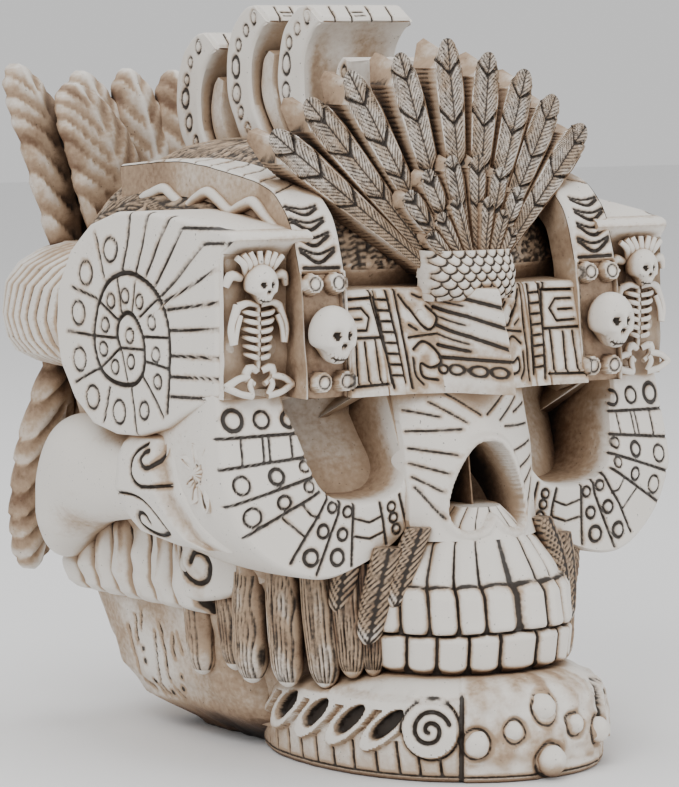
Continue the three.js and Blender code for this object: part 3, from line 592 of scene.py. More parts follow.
fx, fz = np.meshgrid(np.linspace(-18.9, 18.9, 98), np.linspace(93, 55, 100))
face = Carving(fx, fz)
nose = [(0, 78.4), (3.6, 77.6), (6.6, 74.5), (9, 70), (10.8, 65), (11.2, 61), (9.8, 58.2), (7, 57.2), (3.4, 58.0), (0.9, 60.6)]
nose = through(nose + [(-x, z) for x, z in nose[:0:-1]], 80, closed=True)
hole = outline_away(face, nose)
ridge = np.interp(fz, [55, 60, 66, 78, 84, 92], [-62, -60.2, -59.6, -58.0, -56.2, -54])
y = ridge + 0.021 * np.abs(fx) ** 2.05 + 0.25 * rough(fx, fz, 9, 12)
y -= 1.0 * smooth(1 - np.abs(hole - 0.9) / 1.6)
for s in (-1, 1):
    face.lines([[(s * 17.5, 67.8), (s * 12.4, 60.4)], [(s * 17.8, 70.2), (s * 12.2, 66.8)], [(s * 18, 73.4), (s * 10.6, 71.0)],
                [(s * 18, 77), (s * 8.4, 75.4)], [(s * 18, 81), (s * 6.4, 81.4)], [(s * 18, 86), (s * 11, 84.4)]], 0.26, 0.4)
    face.lines([[(s * 13, 88), (s * 5, 83)], [(s * 9, 90), (s * 1, 84.6)]], 0.24, 0.35)
y = y - face.lift
sink = smooth(-hole / 1.1)
wall = smooth(1 - np.abs(fx) / 0.9)
y = y + sink * (19 - 12 * wall)
nose_wash = sink * (2.0 - 1.1 * wall) + 0.35 * smooth(1 - hole / 2.2) * (hole > 0) + 0.12 + 0.25 * smooth((fz - 83) / 8)
face.edge = np.where(hole < 0.1, 3.0, face.edge)
skull_face = Piece("nose_and_cheekbones")
skull_face.add(np.stack([fx, y, fz], -1), face.edge, nose_wash, back=(0, 22, 0), mirror=False)
skull_face.build()

# %% [markdown]
# ## Teeth and their roots
# The upper jaw and the teeth follow one arch. A point of the arch is a turn u along it and a height z; a
# superellipse with the half width and the front reach of that height gives its place. Each tooth bulges
# between two dark gaps, and above the gum line the same gaps run on as flutes up to the nose.

# %% Arch of teeth
ARCH = np.array([[20.5, 26.0, -67.6], [24.5, 27.2, -69.0], [32, 27.8, -70.0], [33.4, 27.4, -69.4], [35, 28, -70.5], [42.5, 27.4, -68.8],
                 [44.5, 26.6, -67.0], [47, 25.7, -66.0], [54, 21.0, -62.6], [59, 14.5, -59.9], [62.5, 9.0, -58.5]])

def arch(u, z, out):
    """x = half sin(a)^0.8 and y = -34 - reach cos(a)^0.8, where a is a quarter turn times u and out
    makes both longer."""
    a = np.clip(np.abs(u), 0, 1) * np.pi / 2
    half, reach = np.interp(z, ARCH[:, 0], ARCH[:, 1]), -34 - np.interp(z, ARCH[:, 0], ARCH[:, 2])
    return np.stack([np.sign(u) * (half + out) * np.sin(a) ** 0.8, -34 - (reach + out) * np.cos(a) ** 0.8, z], -1)

def bulge(u, gaps):
    """How far a point is from the middle of its tooth: 0 there, 1 at a gap; and the tooth's width."""
    g = np.asarray(gaps)
    k = np.clip(np.searchsorted(g, u) - 1, 0, len(g) - 2)
    return np.abs((u - g[k]) / (g[k + 1] - g[k]) * 2 - 1), g[k + 1] - g[k]

upper_gaps = np.array([-1.02, -0.82, -0.64, -0.475, -0.31, -0.155, 0, 0.155, 0.31, 0.475, 0.64, 0.82, 1.02])
lower_gaps = np.array([-1.08, -0.93, -0.77, -0.60, -0.43, -0.25, -0.08, 0.08, 0.25, 0.43, 0.60, 0.77, 0.93, 1.08])
u, z = np.meshgrid(np.linspace(-1, 1, 308), np.linspace(62.5, 20.5, 92))
fu, wu = bulge(u, upper_gaps)
fl, wl = bulge(u, lower_gaps)
gum = 44.0 + 1.3 * np.sqrt(np.clip(1 - fu ** 2, 0, 1)) - 0.6 * np.abs(u)
bite = 33.3 + 0.5 * smooth(1 - np.abs(u) * 2) + 0.35 * fu ** 4
root = smooth((z - gum) / 0.5)
tooth_up = (1 - root) * smooth((z - bite) / 0.6)
tooth_low = smooth((bite - z) / 0.6)
round_up = 1 - 0.55 * smooth((fu - 0.55) / 0.45) * smooth(1 - (z - bite) / 3.4) - 0.35 * smooth((fu - 0.5) / 0.5)
low_end = 24.6 - 0.9 * (1 - fl ** 2)
round_low = smooth((z - low_end) / 1.6)
out = root * (1.3 * (1 - fu ** 2.2) * np.clip((63 - z) / 14, 0.35, 1) - 0.5) \
    + tooth_up * (1.7 * np.sqrt(np.clip(1 - fu ** 3.2, 0, 1)) * round_up - 0.3 + 0.3 * smooth((z - 36) / 8)) \
    + tooth_low * ((1.7 * np.sqrt(np.clip(1 - fl ** 3.2, 0, 1)) - 0.2) * round_low - 1.0 * (1 - round_low)) \
    + 0.12 * rough(u * 60, z, 7, 21)
span = 45.0 * wu / 2
gap_up = (1 - fu) * span - np.interp(z, [34, 44, 50, 60], [0.25, 0.42, 0.3, 0.22]) - 0.5 * smooth(1 - (z - bite) / 2.6) * (z > bite)
gap_low = (1 - fl) * 45.0 * wl / 2 - 0.38 - 0.9 * smooth(1 - (z - low_end) / 2.2)
teeth_edge = np.where(z > bite, gap_up, gap_low)
teeth_edge = np.minimum(teeth_edge, np.abs(z - bite) - 0.34)
teeth_edge = np.where(z < bite, np.minimum(teeth_edge, (z - low_end) - 0.1), teeth_edge)
teeth_edge = np.minimum(teeth_edge, np.abs(z - gum) - 0.3 + 0.15 * rough(u * 50, z, 5, 3))
shade = 0.35 * smooth((z - 40.5) / 4) * (1 - root) + 0.55 * smooth(np.abs(fu) * 1.6 - 0.75) * tooth_up \
    + 0.5 * smooth(np.abs(fl) * 1.6 - 0.75) * tooth_low + 0.7 * smooth((26.5 - z) / 2.5) + 0.6 * smooth((np.abs(u) - 0.72) / 0.2)
jaws = Piece("teeth_and_roots")
jaws.add(arch(u, z, out), teeth_edge, 0.05 + shade * 0.8, back=(0, 14, 0), mirror=False)
jaws.build()
# %% [markdown]
# ## Lower jaw
# The jaw is a horseshoe that stands on the table. Its outline is a superellipse, walked by its length s
# from the middle of the chin, so that the running scroll, the ribs and the holes keep their true spacing
# round the bend. Its chin is rougher and carries knobs like a mace.

# %% Jaw band
JAW = {"half": 38.0, "reach": 47.4, "middle": -35.2, "square": 2.1}
turn = np.linspace(0, np.pi, 3000)
jx = JAW["half"] * np.sin(turn) ** (2 / JAW["square"])
jy = JAW["middle"] - JAW["reach"] * np.sign(np.cos(turn)) * np.abs(np.cos(turn)) ** (2 / JAW["square"])
jrun = np.r_[0, np.cumsum(np.hypot(np.diff(jx), np.diff(jy)))]
jaw_length = jrun[-1]

def jaw_point(s, z, out):
    """The outline at length s from the chin, moved out by out along its own normal in the plane."""
    at = np.abs(s)
    x, y = np.interp(at, jrun, jx), np.interp(at, jrun, jy)
    tx, ty = np.interp(at, jrun, np.gradient(jx, jrun + np.arange(3000) * 1e-9)), np.interp(at, jrun, np.gradient(jy, jrun + np.arange(3000) * 1e-9))
    n = np.hypot(tx, ty) + 1e-9
    return np.stack([np.sign(s + 1e-12) * (x + out * ty / n), y - out * tx / n, z], -1)

profile = np.array([[0, -1.0], [0.35, -0.2], [1.2, 0.3], [2.2, 0.4], [8, 0.4], [12, 0.2], [17, -0.9], [18.6, -1.6], [20.2, -2.9], [21.6, -4.8],
                    [22.8, -7.2], [23.6, -10], [23.8, -13.5], [23.6, -17]])
walk = np.r_[0, np.cumsum(np.hypot(*np.diff(profile, axis=0).T))]
v = np.r_[np.linspace(0, walk[7], 48), np.linspace(walk[7], walk[-1], 12)[1:]]
pz, po = np.interp(v, walk, profile[:, 0]), np.interp(v, walk, profile[:, 1])
s = np.linspace(-112, 112, 440)
S, V = np.meshgrid(s, v, indexing="ij")
Z, OUT = np.broadcast_to(pz, S.shape), np.broadcast_to(po, S.shape).copy()
jaw = Carving(np.abs(S), Z)
side = smooth((np.abs(S) - 22.6) / 0.6)
scroll = np.zeros(S.shape)
ribbon = np.full(S.shape, 9.0)
for k, (c, tall) in enumerate(((40.8, 13.2), (51.5, 13.4), (63.2, 13.6), (76.0, 13.8), (90.0, 13.8))):
    wide = (2.7, 2.9, 3.1, 3.4, 3.6)[k]
    dv = jaw.b - tall
    lean = (jaw.a - c) + 0.85 * dv
    q = np.hypot(lean / wide, dv / 4.0) * 3.0 - 3.0
    ribbon = np.minimum(ribbon, q)
    jaw.edge = np.minimum(jaw.edge, q + 0.25)
whorl = np.hypot(jaw.a - 29.9, jaw.b - 12.6)
band = np.maximum(smooth((2.35 - ribbon) / 0.45), smooth((7.0 - whorl) / 0.5)) * side
band = np.maximum(band, smooth((jaw.b - 16.2) / 0.5) * smooth((18.9 - jaw.b) / 0.4) * side * smooth((jaw.a - 36) / 2))
hole_in = smooth(-ribbon / 0.6 + 0.1) * side
OUT += side * (-0.9 + 1.7 * band) - 2.6 * hole_in + 0.15 * rough(S, Z, 6, 31)
twist = np.linspace(0, 1, 60)
spin = [(29.9 + (0.6 + 4.2 * t) * math.cos(5.2 + 10.2 * t), 12.6 + (0.6 + 4.2 * t) * math.sin(5.2 + 10.2 * t)) for t in twist]
jaw.line(spin, 0.5, 1.0)
jaw.cut(np.where(band > 0.2, np.abs(np.minimum(2.35 - ribbon, 9) * 1.0), 9), 0.22, 0.2, where=(jaw.b < 15.5) & (ribbon > 0.5) & (side > 0.5) & (whorl > 6.9))
jaw.cut(np.abs(whorl - 7.15), 0.28, 0.5, where=side > 0.5)
for c in (27.5, 32.8, 38.1, 44.2, 50.8, 57.6, 63.8, 70.0, 76.4, 83.0, 89.8, 96.6, 103.4):
    jaw.cut(np.abs(jaw.a - c - 0.15 * (jaw.b - 5)), 0.34, 0.7, where=(jaw.b < 9.5) & (jaw.b > 1.6) & (ribbon > 2.4) & (whorl > 7.2))
jaw.line([(22.4, 0), (22.4, 20)], 0.6, 1.2)
jaw.line([(0, 1.5), (120, 1.5)], 0.24, 0.4)
jaw.line([(23, 19.3), (120, 19.3)], 0.26, 0.4)
chin = smooth((23 - np.abs(S)) / 3)
lumps = rough(S, Z, 7, 33) + 0.5 * rough(S, Z, 3, 34)
OUT += chin * (0.9 * lumps * smooth((Z - 2) / 2) - 0.5)
knobs = [(0.0, -79.2, 16.6, 3.5, 3.4), (0.0, -83.2, 4.6, 3.7, 3.3), (9.2, -79.6, 12.0, 2.5, 2.8), (18.0, -77.9, 9.4, 3.2, 2.2)]
for kx, ky, kz, r, tall in knobs:
    q = np.hypot(np.abs(S) - np.interp(kx, jx[:1500], jrun[:1500]), Z - kz)
    jaw.edge = np.minimum(jaw.edge, np.abs(q - r - 0.35) - 0.25)
    OUT -= 0.8 * smooth(1 - np.abs(q - r - 0.5) / 1.1)
P = jaw_point(S, Z, OUT - jaw.deep)
jaw_wash = 0.08 + hole_in * 0.75 + side * (1 - band) * 0.32 * (Z < 9.5) + chin * (0.42 + 0.4 * lumps) * smooth((Z - 2.5) / 3) \
    + 0.4 * smooth((np.abs(S) - 70) / 20) + 0.3 * smooth((Z - 20) / 3) * (0.5 + 0.5 * rough(S, Z, 18, 35))
lower = Piece("lower_jaw")
lower.add(P, np.where(np.abs(S) < 110, jaw.edge, 3.0), jaw_wash, back=(0, 0.01, 0), mirror=False)
for kx, ky, kz, r, tall in knobs:
    K = ball((0, 0, 0), (1, 1, 1), 28, 16)
    cone = np.clip(-K[..., 1], 0, 1)
    K = np.stack([K[..., 0] * r * (1 - 0.25 * cone ** 3), K[..., 1] * tall, K[..., 2] * r * (1 - 0.25 * cone ** 3)], -1)
    K = K + (kx, ky - 0.2, kz) + 0.12 * np.stack([rough(K[..., 0] * 3, K[..., 2] * 3, 6, 40 + i) for i in range(3)], -1)
    lower.add(K, 3.0, 0.08 + 0.2 * (K[..., 1] > ky), around=True, mirror=kx > 0)
lower.build()
# %% [markdown]
# ## Headband
# A band is tied across the brow. Its middle juts out like a ship's prow. The depth of the sheet is read
# from three curves, one at the bottom, one at half height and one at the top, and blended between them.
# The pattern is drawn once, on the distance from the middle, so both sides get it.

# %% Bent band with its carving
def band_y(x, z):
    """Depth of the band: curves of |x| at z 90, 103 and 115, blended over z."""
    at = [0, 4.5, 9, 22, 36, 49.5]
    levels = [(-69, -61.5, -54.6, -51, -51, -46), (-66, -58.6, -51.4, -48, -49, -45.5), (-62, -55.4, -49, -44.5, -46, -43)]
    rows = []
    for ys in levels:
        c = through(np.stack([at, ys], 1), 120)
        rows.append(np.interp(np.abs(x), c[:, 0], c[:, 1]))
    t = np.clip((z - 90) / 13, 0, 1), np.clip((z - 103) / 12, 0, 1)
    return rows[0] + (rows[1] - rows[0]) * t[0] + (rows[2] - rows[1]) * t[1]

x, v = np.meshgrid(np.linspace(-35.4, 35.4, 356), np.r_[np.linspace(0, 1, 94), np.linspace(1, 1.14, 5)[1:]], indexing="ij")
z = 90.2 + 25 * np.clip(v, 0, 1)
band = Carving(np.abs(x), z)
band.lines([[(24.8, 114.5), (23.0, 93)], [(21.2, 114.5), (19.3, 93)], [(26.2, 115), (25.5, 112.6), (24.1, 103.2), (22.6, 91.8)],
            [(18.7, 114.7), (18.2, 104.1), (17.5, 91.6)], [(35, 92.6), (24, 92.8)], [(33.6, 113), (25.4, 113.1)],
            [(34.7, 103.9), (24.2, 103.7)]], 0.3, 0.7)
band.lines([[(32.4, 102.9), (33, 93.1)], [(29.7, 102.8), (29.5, 92.9)], [(26.2, 103.3), (26, 92.7)],
            [(33.6, 105.7), (28.5, 105.5), (27, 108.5), (29.1, 110.8), (33.4, 110.8)], [(33.4, 108.3), (29.4, 108.2)],
            [(16.8, 103.4), (9.9, 104.2)], [(35, 113), (35, 92)]], 0.26, 0.6)
for k in range(8):
    t = 94.6 + 2.55 * k
    band.line([(19.6 + (t - 93) * 0.088, t), (23.0 + (t - 93) * 0.084, t + 0.2)], 0.26, 0.6)
band.line([(17.7, 113.5), (15.7, 110), (12.6, 105.6), (10.8, 105.6), (9.6, 108), (11.8, 110.8)], 0.3, 0.7, True)
band.line([(14.4, 113.6), (12.6, 112.8), (10.4, 113.4)], 0.26, 0.5, True)
band.line([(16.4, 106.4), (14.6, 105.2)], 0.26, 0.5, True)
band.line([(15.9, 100.6), (13.3, 102.4), (10.6, 100.2), (9.8, 97.4), (12.4, 96.2), (14.6, 97.2), (14.4, 94.1), (11.2, 93.3)], 0.3, 0.7, True)
band.line([(16.4, 98.6), (16.2, 94.6), (14.6, 92.2)], 0.26, 0.5, True)
prow = np.abs(x) < 10.6
band.lines([[(9.4, 113.8), (5, 112.6), (0, 110.6)], [(9.9, 110.6), (5, 108.4), (0, 105.8)], [(9.6, 106.2), (5, 103.6), (0, 100.8)],
            [(10, 101.6), (5.4, 100.2)], [(9.8, 98.6), (0, 97.9)]], 0.42, 0.8)
band.lines([[(9.4, 112.3), (5.5, 110.9)], [(9.6, 108.4), (5.5, 106.3)], [(9.6, 104), (5.4, 101.9)]], 0.2, 0.3)
for k, r in ((1.7, 1.15), (4.4, 1.15), (7.2, 1.1), (9.6, 0.95)):
    band.ring((k, 95.2 + 0.06 * k), r, 1.05, 0.26, 0.5, 0.3)
ladder = (np.abs(np.abs(x) - 22.0) < 2.2)
band.rise += 0.45 * ladder + 0.6 * smooth((np.abs(z - 103.5) - 9.7) / 0.5) * (np.abs(x) > 24.6) + 0.35 * (np.abs(np.hypot(band.a - 13.4, (z - 108.5) * 0.8) - 2.2) < 1.0)
y = band_y(x, z) + 20 * np.clip((v - 1) / 0.14, 0, 1) - 0.25 * rough(x, z, 5, 51) * (np.abs(x) < 18.5) * (np.abs(x) > 10) \
    - 0.08 * rough(x, z, 3, 52) + 0.8 * smooth((v - 0.97) / 0.03)
wash_and_shade = 0.25 + 0.3 * smooth(0.3 + rough(x, z, 9, 53)) + 0.5 * (np.abs(np.abs(x) - 14) < 4) * smooth(0.2 + rough(x, z, 4, 54)) + 0.25 * smooth((93.5 - z) / 3)
P = np.stack([x, y - band.lift, z + 0.3 * smooth((v - 1) / 0.1)], -1)
headband = Piece("headband")
headband.add(P, np.where(v < 1, band.edge, 3.0), np.where(v < 1, wash_and_shade, 0.8), back=(0, 12, 0), mirror=False)
headband.build()
# %% [markdown]
# ## Straps over the head
# Two straps run up the front beside the headband and back over the cranium. Each strap is a bar with a
# rectangular section that follows a bent path. Its outer face is carved by its own two coordinates: s,
# the length walked from the bottom, and x across. Crescents hang one over the other like lashings; a small
# skull sits between ringed studs.

# %% Bars, crescents and cord
STRAP = [(-50, 90.3), (-50, 96), (-49, 104), (-48.2, 113), (-47, 121), (-44.5, 129), (-41, 134.5), (-34, 139.5), (-20, 142.5), (6, 145), (33, 143)]
path = through(STRAP, 280)
run = np.r_[0, np.cumsum(np.hypot(*np.diff(path, axis=0).T))]
tangent = np.gradient(path, axis=0)
tangent /= np.linalg.norm(tangent, axis=1, keepdims=True)
inward = np.stack([tangent[:, 1], -tangent[:, 0]], 1)
front_x = np.linspace(34.5, 47.2, 34)
loop_x = np.r_[front_x, np.full(3, 47.2), np.linspace(47.2, 34.5, 6)[1:-1], np.full(3, 34.5)]
loop_in = np.r_[np.zeros(len(front_x)), np.linspace(0.5, 9, 3), np.full(4, 9), np.linspace(9, 0.5, 3)]
X, S = np.meshgrid(loop_x, run)
strap = Carving(X, S)
on_face = np.broadcast_to(loop_in == 0, X.shape)
for s0, x0, x1, sag in ((29.5, 35.8, 46.0, 0), (35.6, 36.4, 46.2, 2.6), (39.5, 37.2, 46.6, 2.4), (43.3, 37.6, 46.8, 2.2),
                        (47.2, 38.0, 46.6, 2.0)):
    if sag:
        m = (x0 + x1) / 2
        top = through([(x0, s0), (m, s0 - sag * 0.55), (x1, s0 + 0.1)], 14)
        low = through([(x0 + 0.2, s0 - 0.9), (m, s0 - sag - 0.9), (x1 - 0.3, s0 - 0.8)], 14)
        strap.cut(strap.away(top), 0.34, 0.7, on_face)
        strap.cut(strap.away(low), 0.46, 0.9, on_face)
    else:
        strap.cut(strap.away([(x0, s0 + 1.2), (x1, s0 + 1.4)]), 0.42, 0.7, on_face)
for k in range(9):
    s0 = 55 + 7.2 * k
    strap.cut(strap.away(through([(46.6, s0 - 3), (42.5, s0 - 0.8), (38, s0 + 2.2), (35.2, s0 + 5)], 10)), 0.2, 0.4, on_face & (S > 51.5))
strap.cut(np.abs(X - 35.4), 0.2, 0.4, on_face & (S < 29.6))
shelf = smooth((30 - S) / 0.5) * on_face * smooth((X - 35.5) / 0.5) * smooth((46.9 - X) / 0.3)
for sx, ss in ((44.4, 26.9), (37.7, 26.9), (43.4, 3.9), (36.9, 3.9)):
    q = np.hypot(X - sx, S - ss)
    strap.rise = np.maximum(strap.rise, 2.9 * smooth((2.75 - q) / 0.5) * on_face)
    strap.edge = np.where(on_face, np.minimum(strap.edge, np.abs(q - 1.45) - 0.2), strap.edge)
strap.rise -= 1.2 * shelf
soft = 0.7 * smooth(1 - (X - 34.5) / 0.7) + 0.7 * smooth(1 - (47.2 - X) / 0.7)
depth = np.broadcast_to(loop_in, X.shape) + np.where(on_face, soft * (S > 30) - strap.lift, 0) + 0.1 * rough(X * 2, S, 6, 61)
P = np.stack([X, path[:, :1] + inward[:, :1] * depth, path[:, 1:] + inward[:, 1:] * depth], -1)
lump = smooth(1 - np.hypot(np.minimum(np.abs(X - 44.0), np.abs(X - 37.2)), np.minimum(np.abs(S - 26.9), np.abs(S - 3.9))) / 3.0)
wash_and_shade = np.where(on_face, 0.08 + 0.95 * shelf * (strap.rise < 0.3), 0.75) + 0.25 * smooth(rough(X, S, 8, 62)) + 0.3 * smooth((S - 85) / 20)
straps = Piece("straps")
straps.add(P, np.where(on_face, strap.edge, 3.0), wash_and_shade, around=True)
tiny_skull((41.6, -52.4, 105.6), 6.0, straps, 1.12)
cord = through([(24, 134.4), (18, 136.2), (12, 137.6), (7, 135.4), (2, 133.4), (-3, 135.8), (-8, 137.4), (-13, 135.4), (-18, 133.0),
                (-23, 134.6), (-28, 135.6), (-33, 132.4), (-37, 130.0), (-40, 127.6)], 130)
thick = np.interp(np.linspace(0, 1, len(cord)), [0, 0.05, 0.83, 1], [0.8, 1.35, 1.6, 1.0])
R = tube(np.insert(cord, 0, 47.4, axis=1), thick, 10, side=(1, 0, 0))
straps.add(R, 3.0, 0.12 + 0.5 * smooth((48.0 - R[..., 0]) / 1.2), around=True)
straps.build()
# %% [markdown]
# ## Cranium and neck
# The head under all the dress is a stack of superellipses: |x|^n + |y|^n = 1 stretched to the half width
# and to a front and a back reach, all five numbers read from a table of heights. Its top is engraved with
# rows of small leaves, which is why it takes so much of the brown wash. Below the pleats a panel carries
# rows of shallow strokes.

# %% Head shell
def stack(table, z, n):
    """Rings at the heights z: the table gives height, half width, front, back and squareness. Equal
    turns would leave wide gaps where a square ring crosses an axis, so each ring is walked by its
    length and gets n points evenly spaced."""
    t = np.asarray(table, float)
    half, front, back, square = (np.interp(z, t[:, 0], t[:, i])[:, None] for i in (1, 2, 3, 4))
    a = np.linspace(0, 2 * np.pi, 2001)
    c, s = np.cos(a)[None], np.sin(a)[None]
    x = half * np.sign(c) * np.abs(c) ** (2 / square)
    y = (front + back) / 2 + (back - front) / 2 * np.sign(s) * np.abs(s) ** (2 / square)
    rings = []
    for rx, ry, height in zip(x, y, z):
        length = np.r_[0, np.cumsum(np.hypot(np.diff(rx), np.diff(ry)))]
        at = np.arange(n) / n * length[-1]
        rings.append(np.stack([np.interp(at, length, rx), np.interp(at, length, ry), np.full(n, height)], 1))
    return np.array(rings)

def leaves(c, a, b, tall=7.0, broad=5.0, step=0.95, wide=0.14, deep=0.35):
    """Engraved leaves standing in columns: in each column a shaft, slanting barbs and, between two
    leaves, an arched gap. Every second column starts half a leaf higher."""
    col = np.floor(a / broad)
    off = a - (col + 0.5) * broad
    bb = b + np.mod(col, 2) * tall / 2 + 1.3 * np.sin(col * 2.7)
    along = np.mod(bb, tall)
    reach = broad * 0.47 * np.sqrt(np.clip(1 - ((along - tall * 0.42) / (tall * 0.6)) ** 2, 0.0, 1))
    inside = np.abs(off) < reach
    barbs(c, bb, off, step, 0.9, wide, deep, inside)
    c.cut(np.abs(np.abs(off) - reach), wide * 1.6, deep * 1.6)
    return inside

z = np.r_[6, 34, 58, 84, 110, np.linspace(118, 149.4, 78)]
HEAD_TABLE = [(6, 34, -38, 34, 3), (34, 42, -44, 57, 3), (58, 53, -46, 61, 3), (84, 58, -30, 64, 3), (110, 57.5, -34, 66, 3),
              (120, 56, -39, 65.5, 2.9), (128, 54, -36.5, 64, 2.8), (134, 50, -32.6, 61.5, 2.65), (139, 45, -28, 58, 2.5),
              (143.4, 38.5, -21.5, 53.4, 2.4), (147, 31, -14, 48, 2.3), (148.9, 22, -4, 41, 2.2), (149.4, 13, 4, 33, 2.1)]
P = stack(HEAD_TABLE, z, 400)
shell = Carving(P[..., 0], P[..., 1])
high = P[..., 2] > 119
leaf = leaves(shell, P[..., 0] + 0.8 * np.sin(P[..., 1] / 4), P[..., 1] + 0.3 * P[..., 2], 8.0, 5.2)
shell.edge, shell.deep = np.where(high, shell.edge, 3.0), np.where(high, shell.deep, 0.0)
front = (P[..., 1] < 0) & high
wash_and_shade = np.where(high, 0.75 + 0.3 * rough(P[..., 0], P[..., 1], 9, 71), 0.8) - 0.25 * high * leaf
P = lifted(P, shell.lift * (0.8 + 0.2 * high), inside=(0, 0, 100), around=True)
head = Piece("cranium")
head.add(P, shell.edge, wash_and_shade, around=True, mirror=False)
head.build()

# %% Neck block with its panel of strokes
z = np.linspace(0.05, 36, 58)
P = stack([(0, 26.5, -20, 38.5, 4), (1.5, 28, -20, 40, 4), (8, 39, -20, 46, 5), (15, 42.5, -20, 53, 5), (34, 46, -20, 62, 5), (36, 46, -20, 62, 5)], z, 320)
neck = Carving(P[..., 1], P[..., 2])
at_side = np.abs(P[..., 0]) > 33
mark = lambda chain, wide=0.42: neck.cut(neck.away(through(chain, 12)), wide, 0.7, at_side)
for k, (y0, z0, h, lean) in enumerate(((33.5, 14, 12, -1.5), (31.6, 22, 7, 0.6), (24.6, 13, 13, 2.2), (19.0, 14, 15, -0.4), (28.6, 26, 5, 1.2),
                                       (14.6, 20, 6, 0.5), (10.6, 22, 5, -0.6))):
    mark([(y0, z0), (y0 - lean * 0.6, z0 + h * 0.5), (y0 - lean, z0 + h)], 0.3 + 0.06 * (k % 2))
for y0, z0, r in ((29.4, 20.6, 0.7), (28.8, 17.6, 0.75), (27.6, 12.4, 0.7), (20.2, 10.4, 0.75), (14.2, 12.2, 0.7), (12.4, 15.6, 0.6)):
    q = np.hypot(P[..., 1] - y0, P[..., 2] - z0)
    neck.edge = np.where(at_side, np.minimum(neck.edge, q - r), neck.edge)
for y0 in (30.8, 25.6, 23.4, 16.6):
    mark([(y0 + 1.4, 12.2 - (31 - y0) * 0.03), (y0 - 1.2, 9.8 - (31 - y0) * 0.03)], 0.26)
ragged = rough(P[..., 0] + P[..., 1], P[..., 2] * 0.6, 12, 73)
# Painted shadow: the block is dark brown where it shows behind the locks, and darker still low at the front, with
# ragged patches. The panel of strokes is left lighter.
wash_and_shade = 0.75 + 0.25 * ragged - 0.55 * smooth(1 - np.hypot((P[..., 1] - 25) / 14, (P[..., 2] - 19) / 14) + 0.2 * ragged) * at_side + 0.35 * smooth((12 - P[..., 2]) / 5) * smooth((20 - P[..., 1]) / 12)
P = lifted(P, -neck.deep + 0.3 * rough(P[..., 1], P[..., 2], 5, 74), inside=(0, 20, 18), around=True)
P[..., 2] = np.clip(P[..., 2], 0.02, 99)
block = Piece("neck_block")
block.add(P, neck.edge, wash_and_shade, around=True, mirror=False)
block.build()
# %% [markdown]
# ## Feather fan
# Nine thick feathers stand up from a scaled boss over the brow. Each is a slab: rings run up the feather,
# and every ring walks over the front face, round the right flank, across the back and down the left
# flank. A ring's points are drawn up less at the face's sides than in its middle, so the tip is rounded.
# The front is folded a little along the shaft, and barbs rise from the shaft on both sides.

# %% Feathers as slabs
def feather(piece, root, tip, widths, thick, rows, across, flank, power=2.4, drop=0.13, seed=0, notches=3):
    """One slab. Across the face runs a from -1 to 1, along it f from 0 to 1; the width grows from the
    first of widths to the second. The tip's outline is 1 - drop |a|^power."""
    root, tip = np.asarray(root, float), np.asarray(tip, float)
    face_a, back_a = np.linspace(-1, 1, across), np.linspace(1, -1, 5)[1:-1]
    a = np.r_[face_a, np.ones(flank), back_a, -np.ones(flank)]
    b = np.r_[np.zeros(across), np.linspace(0.02, 1, flank), np.ones(3), np.linspace(1, 0.02, flank)]
    A, F = np.meshgrid(a, np.linspace(0, 1, rows))
    B = np.broadcast_to(b, A.shape)
    G = F * (1 - drop * np.abs(A) ** power * F)
    along = np.array([tip[0] - root[0], tip[2] - root[2]])
    length = np.hypot(*along)
    along /= length
    w = (widths[0] + (widths[1] - widths[0]) * G) * (1 - 0.10 * smooth((F - 0.86) / 0.14))
    c = Carving(A * w / 2, G * length)
    on = np.broadcast_to(b == 0, A.shape)
    barbs(c, c.b + 0.25 * rough(c.a * 3, c.b, 6, seed), c.a, 1.25, 1.25, 0.13, 0.28, on & (np.abs(A) < 0.93))
    r = np.random.default_rng(seed)
    for k in range(notches):
        s0 = length * (0.86 - (0.62 / max(notches, 1)) * (k + r.uniform(-0.15, 0.15)))
        f = c.b - s0 - 0.95 * np.abs(c.a)
        c.cut(np.abs(f) / 1.4, 0.30, 0.75, on)
        c.rise -= on * 0.35 * smooth(1 - f / 2.2) * (f > 0)
    side_line = np.abs(np.mod(c.b + 0.7 * rough(B * thick * 2, c.b, 7, seed + 5), 1.15) - 0.57)
    c.cut(side_line, 0.13, 0.3, (~on) & (np.abs(A) > 0.99) & (B > 0.12))
    fold = 0.55 * (1 - np.abs(A)) * on
    edge_soft = 0.45 * smooth((np.abs(A) - 0.78) / 0.22) * on
    depth = B * thick - fold + edge_soft - c.lift * on + 0.1 * rough(c.a * 2, c.b, 5, seed + 1) * on
    swell = (~on) * (np.abs(A) > 0.99) * (0.25 * np.sin(np.pi * B) - c.deep)
    P = np.stack([root[0] + along[0] * c.b + along[1] * (c.a + np.sign(A) * swell),
                  root[1] + (tip[1] - root[1]) * G + depth,
                  root[2] + along[1] * c.b - along[0] * (c.a + np.sign(A) * swell)], -1)
    ragged = rough(c.a * 3 + B * 9, c.b, 9, seed + 2)
    # Face: darker towards the root and along the shaft, with ragged patches. Flanks: painted shade, darker towards the
    # back, for the sides turned from the light.
    wash_and_shade = np.where(on, 0.12 + 0.45 * smooth(1 - G * 1.25) + 0.25 * smooth(ragged) + 0.3 * smooth(1 - np.abs(c.a) / 0.8) * 0.6,
                    0.35 + 0.75 * smooth(B * 2.2) - 0.15 * ragged)
    piece.add(P, c.edge, wash_and_shade, around=True, mirror=False)

